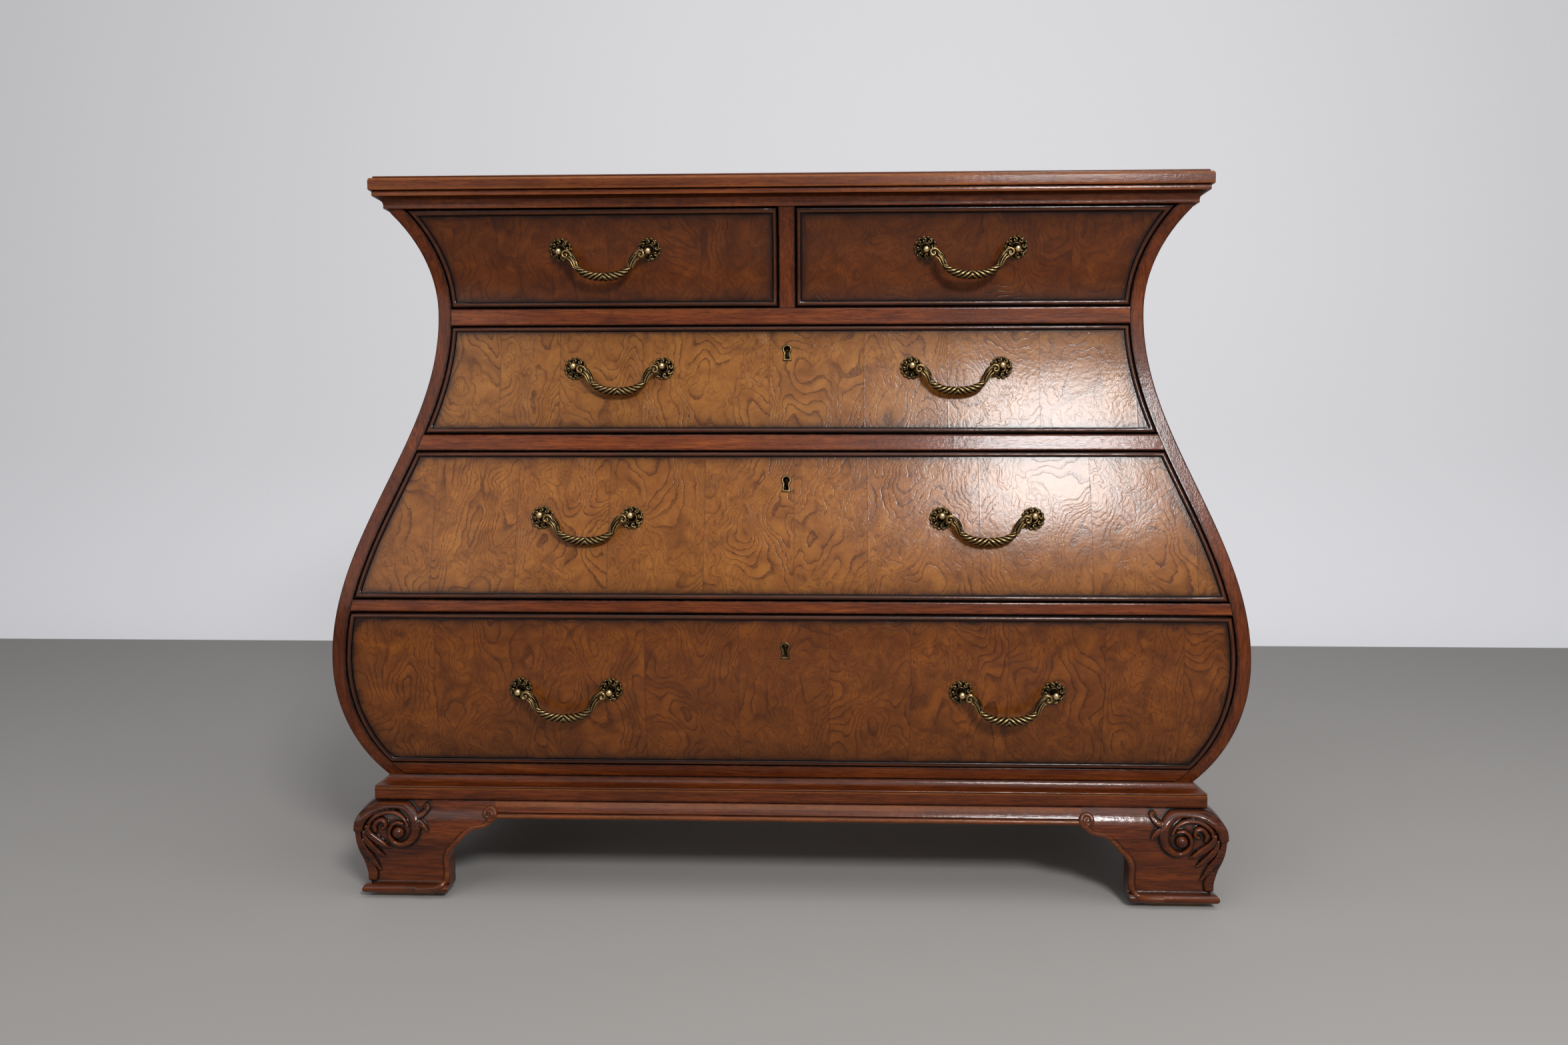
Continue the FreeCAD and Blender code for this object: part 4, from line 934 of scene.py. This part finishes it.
def bracket_bead(side, mirror):
    """Bead along the bracket's sawn edges, front and side, rolled up at its end into a small volute."""
    profile = sorted((z, p) for p, z in foot_profile())
    levels, outs = [z for z, _ in profile], [p for _, p in profile]
    edge = [(ankle - 44, foot_low + 6.0), (ankle - 26, foot_low + 6.5), (ankle - 12, foot_low + 9.5),
            (ankle - 5.5, foot_low + 16.0)]
    edge += [(bracket_edge(z) - bead_half, z)
             for z in np.linspace(foot_low + 26.0, foot_top - apron_height - 1.5, 22)]
    start, shrink = 8.8, 0.145  # the volute's first radius, and what it loses in each step of 13 degrees
    curl = [about(start - shrink * n, 13 * n - 70, 0.0) for n in range(0, 46, 2)]
    spiral = [(volute[0] + s, volute[1] + z) for s, _, z in curl]
    path = smooth_line(edge + spiral, 3)
    lines = []
    for face in ("front", "side"):
        line = []
        for n, (s, z) in enumerate(path):
            p = min(float(np.interp(z, levels, outs)) + 1.2, toe_out - bead_half + 1.0)
            x, y = (corner_x - s, foot_y - p) if face == "front" else (foot_x + p, corner_y + s)
            size = bead_half - 1.3 * max(0.0, n / len(path) - 0.6) / 0.4 + 0.8 * max(0.0, 1 - n / 14)
            line.append((x * mirror, y, z, size, 0.0, 0.0))
        lines.append(line)
    points, faces, _ = sweep(lines, section_points=12, finish=foot_wood)
    # The bead is painted a little lighter than the foot, rubbed and as a highlight.
    piece(f"foot_{side}_bead", points, faces, [foot_wood], "carcase", sharp=60,
          values={"wear_and_painted_light": [-0.12] * len(points)})


def apron():
    """Round face over a small bead, between the feet, in front and along the sides."""
    low = foot_top - apron_height
    bead_top = low + 8.0
    brow = ogee_brow(bead_top)
    # Wear and painted light: painted shade and wax under the base and in the quirk over the bead; the upper
    # round face and the bead's front are painted lighter as a highlight, partly rubbed.
    section = [(ogee_brow(z), z, 1.0 if z > foot_top - 0.5 else (-0.35 if z > foot_top - 6 else 0.0))
               for z in np.linspace(foot_top, bead_top + 0.8, 12)]
    section += [(brow - 1.0, bead_top + 0.3, 1.0), (brow - 1.2, bead_top - 0.4, 1.0)]
    section += [(brow - 0.9 + 4.4 * math.sin(a), low + 3.9 + 3.9 * math.cos(a),
                 -0.4 if 0.8 < a < 2 else 0.2) for a in np.linspace(0.25, math.pi, 9)]
    section += [(-12.0, low, 0.5), (-12.0, foot_top, 1.0)]
    count, end = len(section), corner_x - bracket_length + 1
    points = [(x, foot_y - p, z) for x in (-end, 0, end) for p, z, _ in section]
    faces = prism(3, count)
    picks = [0] * len(faces)
    y0, y1 = corner_y + bracket_length - 1, case_back - bracket_length + 1
    for mirror in (1, -1):
        start = len(points)
        points += [((foot_x + p) * mirror, y, z) for y in (y0, y1) for p, z, _ in section]
        faces += prism(2, count, start)
        picks += [1] * (len(faces) - len(picks))
    piece("apron_beaded", points, faces, [base_x, base_y], "carcase", ["apron"], picks=picks, sharp=55,
          values={"wear_and_painted_light": [worn_and_painted_light for _, _, worn_and_painted_light in section] * (len(points) // count)})


# Drawers.

drawers = {"drawer_1_left": 1, "drawer_1_right": 1, "drawer_2": 2, "drawer_3": 3, "drawer_4": 4}
bead_width, bead_round, bead_proud, bead_root = 7.0, 6.2, 2.5, -9.0


def window(name, inset):
    """Limits of a drawer's front, moved in: left and right as functions of the level, foot and head."""
    low, high = corners(name + "_front")
    parallel = inside(side_line, stile_face + drawer_gap + inset)
    if name.startswith("drawer_1"):
        inner = min(abs(low.x), abs(high.x)) + inset
        return (lambda z: inner), parallel, low.z + inset, high.z - inset
    return (lambda z: -parallel(z)), parallel, low.z + inset, high.z - inset


def side_sign(name):
    """The small left-hand drawer mirrors the right-hand one."""
    return -1 if name.endswith("left") else 1


def bead(name):
    """Round bead with a fine quirk inside it, mitred at the corners, dark on both sides with wax and painted
    shade, and lighter along its crest, rubbed and painted as a highlight.
    """
    half, per_side, sign = bead_round / 2, 22, side_sign(name)
    # Wear and painted light: painted shade and wax at the root and in the quirk, a painted highlight along
    # the crest.
    section = [(0.0, bead_root, 1.0), (0.0, 0.4, 1.0)]
    section += [(half - half * math.cos(a), 0.3 + (bead_proud - 0.3) * math.sin(a),
                 1.15 * abs(math.cos(a)) ** 1.6 - 0.3 * math.sin(a) ** 10)
                for a in np.linspace(0.2, math.pi, 10)]
    section += [(bead_round, -0.5, 1.3), (bead_width, -0.5, 1.3), (bead_width, bead_root, 1.0)]
    points, wear_and_painted_light = [], []
    shares = [n / per_side for n in range(per_side)]
    for inset, proud, worn_and_painted_light in section:
        left, right, z0, z1 = window(name, inset)
        loop = [(left(z0) + (right(z0) - left(z0)) * t, z0) for t in shares]
        loop += [(right(z), z) for z in [z0 + (z1 - z0) * t for t in shares]]
        loop += [(right(z1) + (left(z1) - right(z1)) * t, z1) for t in shares]
        loop += [(left(z), z) for z in [z1 + (z0 - z1) * t for t in shares]]
        points += [(sign * x, y, z) for x, y, z in (front_point(x, z, proud) for x, z in loop)]
        wear_and_painted_light += [worn_and_painted_light] * len(loop)
    count = 4 * per_side
    faces = grid(len(section), count, wrap_rows=True, wrap_columns=True)
    picks = [1 if (n % count) // per_side in (1, 3) else 0 for n in range(len(faces))]
    piece(name + "_bead_round", points, faces, [bead_x, bead_z], name, [name + "_bead"],
          values={"wear_and_painted_light": wear_and_painted_light}, picks=picks, sharp=60)


def edge_walls(faces, offset):
    """Quads between the open edges of a sheet and those of its copy, offset places further on."""
    sides = {(a, b) for face in faces for a, b in zip(face, face[1:] + face[:1])}
    return [(b, a, a + offset, b + offset) for a, b in sorted(sides) if (b, a) not in sides]


def veneer_face(name, material):
    """Leaves of veneer on the curved front inside the bead, left open over the keyhole."""
    left, right, z0, z1 = window(name, bead_width)
    rows, stations, clear = 33, 81, 0.008
    levels, shares, hole = list(np.linspace(z0, z1, rows)), list(np.linspace(0, 1, stations)), None
    if name + "_escutcheon" in frame["nodes"]:
        low, high = corners(name + "_escutcheon")
        hole, foot, head = 4.4, low.z + 1.6, high.z - 2.6
        levels = sorted([z for z in levels if not foot - 2 < z < head + 2] + [foot, head])
        shares = [t for t in shares if abs(t - 0.5) > clear]
    thickness, proud, sign = 1.2, 0.45, side_sign(name)
    points, border, uv, run = [], [], [], 0.0
    for n, z in enumerate(levels):
        if n:
            run += math.hypot(z - levels[n - 1], front_line(z) - front_line(levels[n - 1]))
        row = [left(z) + (right(z) - left(z)) * t for t in shares]
        if hole:
            row = sorted(row + [-hole, hole])
        points += [front_point(x, z, proud) for x in row]
        border += [min(z - z0, z1 - z, right(z) - x, x - left(z)) for x in row]
        uv += [(sign * x * MM, run * MM) for x in row]
    columns = len(row)
    faces = [face for face in grid(len(levels), columns)
             if not (hole and foot - 0.1 < levels[face[0] // columns] < head - 0.1
                     and abs(points[face[0]][0] + points[face[1]][0]) < 1.0)]
    used = len(points)
    points += [front_point(points[n][0], levels[n // columns], proud - thickness) for n in range(used)]
    back = [tuple(used + n for n in reversed(face)) for face in faces]
    points = [(sign * x, y, z) for x, y, z in points]
    piece(name + "_veneer", points, faces + back + edge_walls(faces, used), [material], name,
          sharp=50, values={"border": border * 2}, uv=uv * 2)


def dressed_copy(node, body, material, wear_and_painted_light=0.0):
    """A merged copy of a CAD node, smooth where it curves, in its finish."""
    mesh = frame["nodes"][node].data.copy()
    mesh.materials.clear()
    mesh.materials.append(material)
    mesh.polygons.foreach_set("material_index", [0] * len(mesh.polygons))
    smoothed(mesh, 30, outwards=False)
    mark(mesh, "wear_and_painted_light", [wear_and_painted_light] * len(mesh.vertices))
    obj = placed(node + "_dressed", mesh)
    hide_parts(node)
    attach(obj, body)


# Pulls.

pull_spacing = 119.0
ball_radius, ball_standoff = 4.8, 16.0
shank_end, nut_end, nut_radius = 22.1, 26.1, 4.62


def rosette():
    """Cast plate about its middle: a dark dish, scrolls curling round it and a scalloped bright rim."""
    around, lobes = 96, 14
    rings = [(2.0, 1.4, 0.2), (4.6, 1.6, 0.3), (5.6, 2.9, 0.75), (6.6, 2.8, 0.6), (7.4, 1.2, 0.05),
             (9.4, 0.9, 0.0), (11.0, 1.1, 0.05), (12.6, 1.9, 0.4), (13.6, 1.9, 0.5), (14.4, 1.0, 0.3),
             (14.5, 0.3, 0.1), (2.0, 0.3, 0.1)]
    points, values = [], []
    for radius, high, shine in rings:
        for turn in (360 * k / around for k in range(around)):
            lobe = 0.6 * abs(math.sin(math.radians(lobes / 2 * turn))) - 0.5 if radius > 12 else 0.0
            points.append(about(radius + lobe, turn, -high))
            values.append(shine)
    parts = [(points, grid(len(rings), around, wrap_rows=True, wrap_columns=True), values)]
    # A scroll and a shell, as radius, height, degrees and half width.
    scroll = [(13.2, 2.2, 25, 0.7), (12.4, 2.6, 8, 1.2), (10.6, 2.9, -2, 1.45), (8.7, 2.8, 4, 1.4),
              (8.3, 2.6, 15, 1.2), (9.6, 2.6, 20, 1.0), (10.6, 2.4, 14, 0.7)]
    shell = [(12.8, 1.9, -12, 0.6), (13.9, 2.2, -7, 1.1), (14.3, 2.3, 0, 1.3), (13.9, 2.2, 7, 1.1),
             (12.8, 1.9, 12, 0.6)]
    for line, shine, repeats in ((scroll, 0.72, 8), (shell, 0.7, lobes)):
        knots = [(*about(r, turn, -high), size, 0.0, shine) for r, high, turn, size in line]
        parts.append(sweep([smooth_line(knots, 4)], section_points=8, repeats=repeats))
    return joined(*parts)


def post():
    """Turned post: shank, collar, neck and a ball painted brightest on its front as a highlight, and the nut
    behind the drawer's front.
    """
    around = 28
    profile = [(0.0, shank_end, 0.2), (2.2, shank_end, 0.2), (2.2, 0.0, 0.2), (4.4, -1.4, 0.3),
               (4.7, -3.2, 0.6), (3.9, -4.6, 0.2), (2.4, -5.6, 0.1), (2.1, -8.4, 0.2), (2.5, -10.4, 0.3),
               (3.2, -11.2, 0.7), (3.2, -12.0, 0.3)]
    # Painted highlight: the ball is painted brighter towards its front, brightest at its tip.
    for a in [math.radians(degrees) for degrees in range(-52, 91, 12)]:
        profile.append((ball_radius * math.cos(a), -ball_standoff - ball_radius * math.sin(a),
                        0.45 + 0.75 * max(0.0, math.sin(a))))
    profile.append((0.0, -ball_standoff - ball_radius, 1.2))
    points = [about(r, 360 * k / around, y) for r, y, _ in profile for k in range(around)]
    values = [shine for _, _, shine in profile for _ in range(around)]
    turned = (points, grid(len(profile), around, wrap_columns=True), values)
    nut = [about(nut_radius, 60 * k, y) for y in (shank_end, nut_end) for k in range(6)]
    return joined(turned, (nut, prism(2, 6), [0.4] * len(nut)))


# Ridges of leaf on a bail's shoulder: knots as (x, z) from the pivot, height before and behind
# the middle, half width.
shoulder_ridges = [
    ([(40.6, -10.0), (42.4, -4.6), (46.4, -0.4), (50.6, 0.2), (53.6, -2.4), (53.4, -6.2), (50.6, -8.0),
      (48.0, -6.4), (48.6, -4.0), (50.4, -4.2)], 2.9, 1.3),
    ([(33.2, -22.4), (34.0, -17.8), (36.4, -12.2), (39.6, -7.0), (43.2, -3.0)], 2.4, 1.0),
    ([(38.6, -22.4), (41.0, -17.4), (43.6, -12.6), (47.4, -9.6)], 2.4, 1.0),
    ([(36.0, -23.6), (37.8, -17.4), (40.6, -11.6), (44.6, -7.0)], 4.0, 1.0),
]


def bail():
    """Cast bail about its pivot: a swelling gadrooned bow whose lobes fan out from its middle, and
    shoulders of leaf that curl over into volutes beside the balls."""
    ahead, lobe_turn = 0.7, 0.185  # the bow's room to swing in; its lobes' turn for each millimetre
    bow = smooth_line([(37.0, -19.6, 2.4), (34.0, -22.6, 3.4), (30.5, -25.6, 4.3), (25.0, -28.9, 5.1),
                       (17.5, -31.7, 5.5), (8.8, -33.2, 5.7), (0.0, -33.6, 5.75)], 12)
    bow = np.vstack([bow, [(-x, z, r) for x, z, r in bow[-2::-1]]])
    run = np.concatenate([[0], np.cumsum(np.hypot(*np.diff(bow[:, :2], axis=0).T))])
    run = np.abs(run - run[-1] / 2)
    fanned = [(x, -ahead, z, r, -lobe_turn * s, 0.84) for (x, z, r), s in zip(bow, run)]
    parts = [sweep([fanned], flutes=5, flute_depth=0.24, section_points=70)]
    for mirror in (1, -1):
        core = smooth_line([(33.0, -24.0, 3.0), (36.4, -18.8, 4.2), (38.8, -12.6, 4.8), (41.4, -7.0, 4.3),
                            (45.0, -3.2, 3.4), (49.0, -1.6, 2.6), (53.0, -0.6, 1.9), (57.0, 0.0, 1.6),
                            (62.0, 0.0, 1.6)], 8)
        turning = [(x * mirror, 0.0, z, r, 0.035 * mirror * n, 0.7) for n, (x, z, r) in enumerate(core)]
        parts.append(sweep([turning], flutes=9, flute_depth=0.24, section_points=72))
        lines = []
        for knots, high, size in shoulder_ridges:
            line = smooth_line(knots, 5)
            sizes = [size * (0.55 + 0.45 * math.sin(a)) for a in np.linspace(0, math.pi, len(line))]
            for y in (-high, high):
                lines.append([(x * mirror, y, z, r, 0.0, 0.84) for (x, z), r in zip(line, sizes)])
        parts.append(sweep(lines, section_points=8))
    return joined(*parts)


def pull_joints(name):
    """Pivot place of each bail that hangs on a drawer, by its body."""
    return {joint["child"]: Vector(joint["pos_m"]) / MM for joint in frame["joints"]
            if joint["parent"] == name and "bail" in joint["child"]}


def plate_level(pivot):
    """Level of the plates of a pull whose pivot stands off the front."""
    level = pivot.z
    for _ in range(12):
        level = pivot.z + ball_standoff * math.sin(math.atan(slope(front_line, level)))
    return level


def on_front(points, x, level):
    """Points made about the origin, laid square on the front at a place."""
    lean = math.atan(slope(front_line, level))
    cos, sin, y0 = math.cos(lean), math.sin(lean), waist_y - front_line(level)
    return [(px + x, y0 + py * cos - pz * sin, level + py * sin + pz * cos) for px, py, pz in points]


def pulls(name, shapes):
    """Bails of a drawer, each on its own body, and the drawer's plates and posts."""
    places = []
    for body, pivot in pull_joints(name).items():
        places += [(pivot.x - pull_spacing / 2, pivot), (pivot.x + pull_spacing / 2, pivot)]
        points, faces, values = shapes["bail"]
        points = [(x + pivot.x, y + pivot.y, z + pivot.z) for x, y, z in points]
        piece(body + "_cast", points, faces, [brass], body, [body], sharp=75,
              values={"relief": values})
    for suffix in ("plates", "posts"):
        points, faces, values = shapes[suffix]
        lots = [(on_front(points, x, plate_level(pivot)), faces, values) for x, pivot in places]
        points, faces, values = joined(*lots)
        piece(f"{name}_{suffix}_cast", points, faces, [brass], name, [f"{name}_{suffix}"],
              sharp=60, values={"relief": values})


def keyhole_outline(rim, count=20):
    """Round head and widening foot, grown by a rim, about the middle of the head."""
    shoulder, foot = keyhole_radius * 0.4 + rim, keyhole_radius * 0.75 + rim
    drop, head = keyhole_drop + rim, keyhole_radius + rim
    start = math.asin(min(1.0, shoulder / head))
    angles = np.linspace(math.pi - start, start - math.pi, count)
    outline = [(head * math.sin(a), head * math.cos(a)) for a in angles]
    z = outline[-1][1]
    left = [(-shoulder + (shoulder - foot) * t, z + (-drop - z) * t) for t in (0.35, 0.7, 1.0)]
    return outline + left + [(0.0, -drop)] + [(-x, level) for x, level in reversed(left)]


def escutcheon(name):
    """Rounded brass rim let in round the keyhole, rubbed bright along its crest."""
    level = corners(name + "_escutcheon")[1].z - keyhole_radius - plate_rim
    section = [(0.6, -6.0, 0.1), (0.0, -2.0, 0.1), (0.0, 0.5, 0.35), (0.5, 1.2, 0.6), (1.6, 1.6, 0.74),
               (2.7, 1.3, 0.64), (3.3, 0.6, 0.4), (plate_rim, -0.5, 0.1)]
    points = [front_point(x, level + z, proud) for rim, proud, _ in section for x, z in keyhole_outline(rim)]
    count = len(points) // len(section)
    values = [shine for _, _, shine in section for _ in range(count)]
    faces = grid(len(section), count, wrap_rows=True, wrap_columns=True)
    piece(name + "_escutcheon_cast", points, faces, [brass], name, [name + "_escutcheon"],
          sharp=60, values={"relief": values})


def dress_drawers():
    """Every piece of the five drawers; each row has its own tones of veneer, shading and figure, and rows 1
    and 4 are given darker tones as painted shade, since their fronts face down.
    """
    # Painted shade: rows 1 and 4 get darker tones and more border shading than rows 2 and 3.
    tones = {1: ("#733b11", "#5b2b0c", "#401d08", 0.95, 3), 2: ("#a46c30", "#8d5725", "#6d3f19", 0.85, 11),
             3: ("#a3672b", "#8b5322", "#6b3d17", 0.85, 19), 4: ("#8a4c19", "#6e3b14", "#52280e", 0.95, 29)}
    leaves = {row: burr_veneer(f"burr_ash_veneer_row_{row}", *tone) for row, tone in tones.items()}
    shapes = {"bail": bail(), "plates": rosette(), "posts": post()}
    for name, row in drawers.items():
        bead(name)
        veneer_face(name, leaves[row])
        pulls(name, shapes)
        dressed_copy(name + "_front", name, rail_x, wear_and_painted_light=0.4)
        dressed_copy(name + "_box", name, poplar_y)
        if row > 1:
            escutcheon(name)
            dressed_copy(name + "_lock", name, lock_brass)
            dressed_copy(name + "_bolt", name + "_bolt", lock_brass)


def dress_case():
    """Every piece that stays with the case."""
    crown()
    slab()
    base()
    uprights()
    rails()
    divider()
    for side, mirror in both_sides:
        front_foot(side, mirror)
        bracket_bead(side, mirror)
    apron()
    dressed_copy("rear_feet", "carcase", foot_wood, wear_and_painted_light=0.1)
    for node in ("rear_frame", "back_panel", "web_frames", "glue_blocks", "glides"):
        dressed_copy(node, "carcase", poplar_x)


# Floor, light and camera.

def floor():
    """Sheet of paper that curves up behind the chest."""
    ahead, half, wall, bend, height = 7.0, 14.0, 1.7, 0.6, 5.0  # metres
    outline = [(-ahead, 0.0), (wall, 0.0)]
    for a in np.linspace(0.1, math.pi / 2, 12):
        outline.append((wall + bend * math.sin(a), bend - bend * math.cos(a)))
    outline.append((wall + bend, height))
    mesh = bpy.data.meshes.new("paper")
    mesh.from_pydata([(x, y, z) for y, z in outline for x in (-half, half)], [], grid(len(outline), 2))
    mesh.materials.append(seamless_paper("pale_floor_paper", "#a3a09d"))
    mesh.materials.append(seamless_paper("pale_wall_paper", "#e9e9ec", 0.2))
    mesh.polygons.foreach_set("material_index", [0] + [1] * (len(outline) - 2))
    mesh.shade_smooth()
    placed("paper", mesh)


def lamp(name, place, aim, width, height, watts):
    """A soft rectangular lamp that looks at a place; sizes are in metres."""
    data = bpy.data.lights.new(name, "AREA")
    data.shape = "RECTANGLE"
    data.size, data.size_y, data.energy = width, height, watts
    obj = placed(name, data)
    obj.location = place
    obj.rotation_euler = (Vector(aim) - Vector(place)).to_track_quat("-Z", "Y").to_euler()


def lights():
    """A window high on the right, a broad ceiling, a weak wash from the left and a room's pale walls."""
    world = bpy.data.worlds.new("room")
    world.use_nodes = True
    background = world.node_tree.nodes["Background"].inputs
    background["Color"].default_value = hex_colour("#d4d5d8")
    background["Strength"].default_value = 0.38
    bpy.context.scene.world = world
    lamp("window", (0.98, -2.85, 2.05), (0.25, -0.1, 0.55), 0.65, 0.5, 70)
    lamp("ceiling", (0.3, -1.2, 3.1), (0.0, -0.1, 0.4), 3.2, 2.4, 40)
    lamp("wash", (-1.9, -2.9, 1.5), (0.0, 0.0, 0.5), 1.6, 1.6, 11)


def camera():
    """Standing close by, a little right of the middle, tipped down."""
    focal_px, image_px = 1621.8, 2352.0
    aside, away, high = 45.58, 1467.1, 598.2
    pitch, yaw = math.radians(-3.7256), math.radians(-1.944)
    data = bpy.data.cameras.new("camera")
    data.sensor_width = 36.0
    data.lens = focal_px / image_px * data.sensor_width
    obj = placed("camera", data)
    obj.location = (aside * MM, (waist_y - away) * MM, high * MM)
    ahead = Vector((math.sin(yaw) * math.cos(pitch), math.cos(yaw) * math.cos(pitch), math.sin(pitch)))
    obj.rotation_euler = ahead.to_track_quat("-Z", "Y").to_euler()
    bpy.context.scene.camera = obj


bpy.context.scene.view_settings.view_transform = "Standard"
dress_case()
dress_drawers()
floor()
lights()
camera()
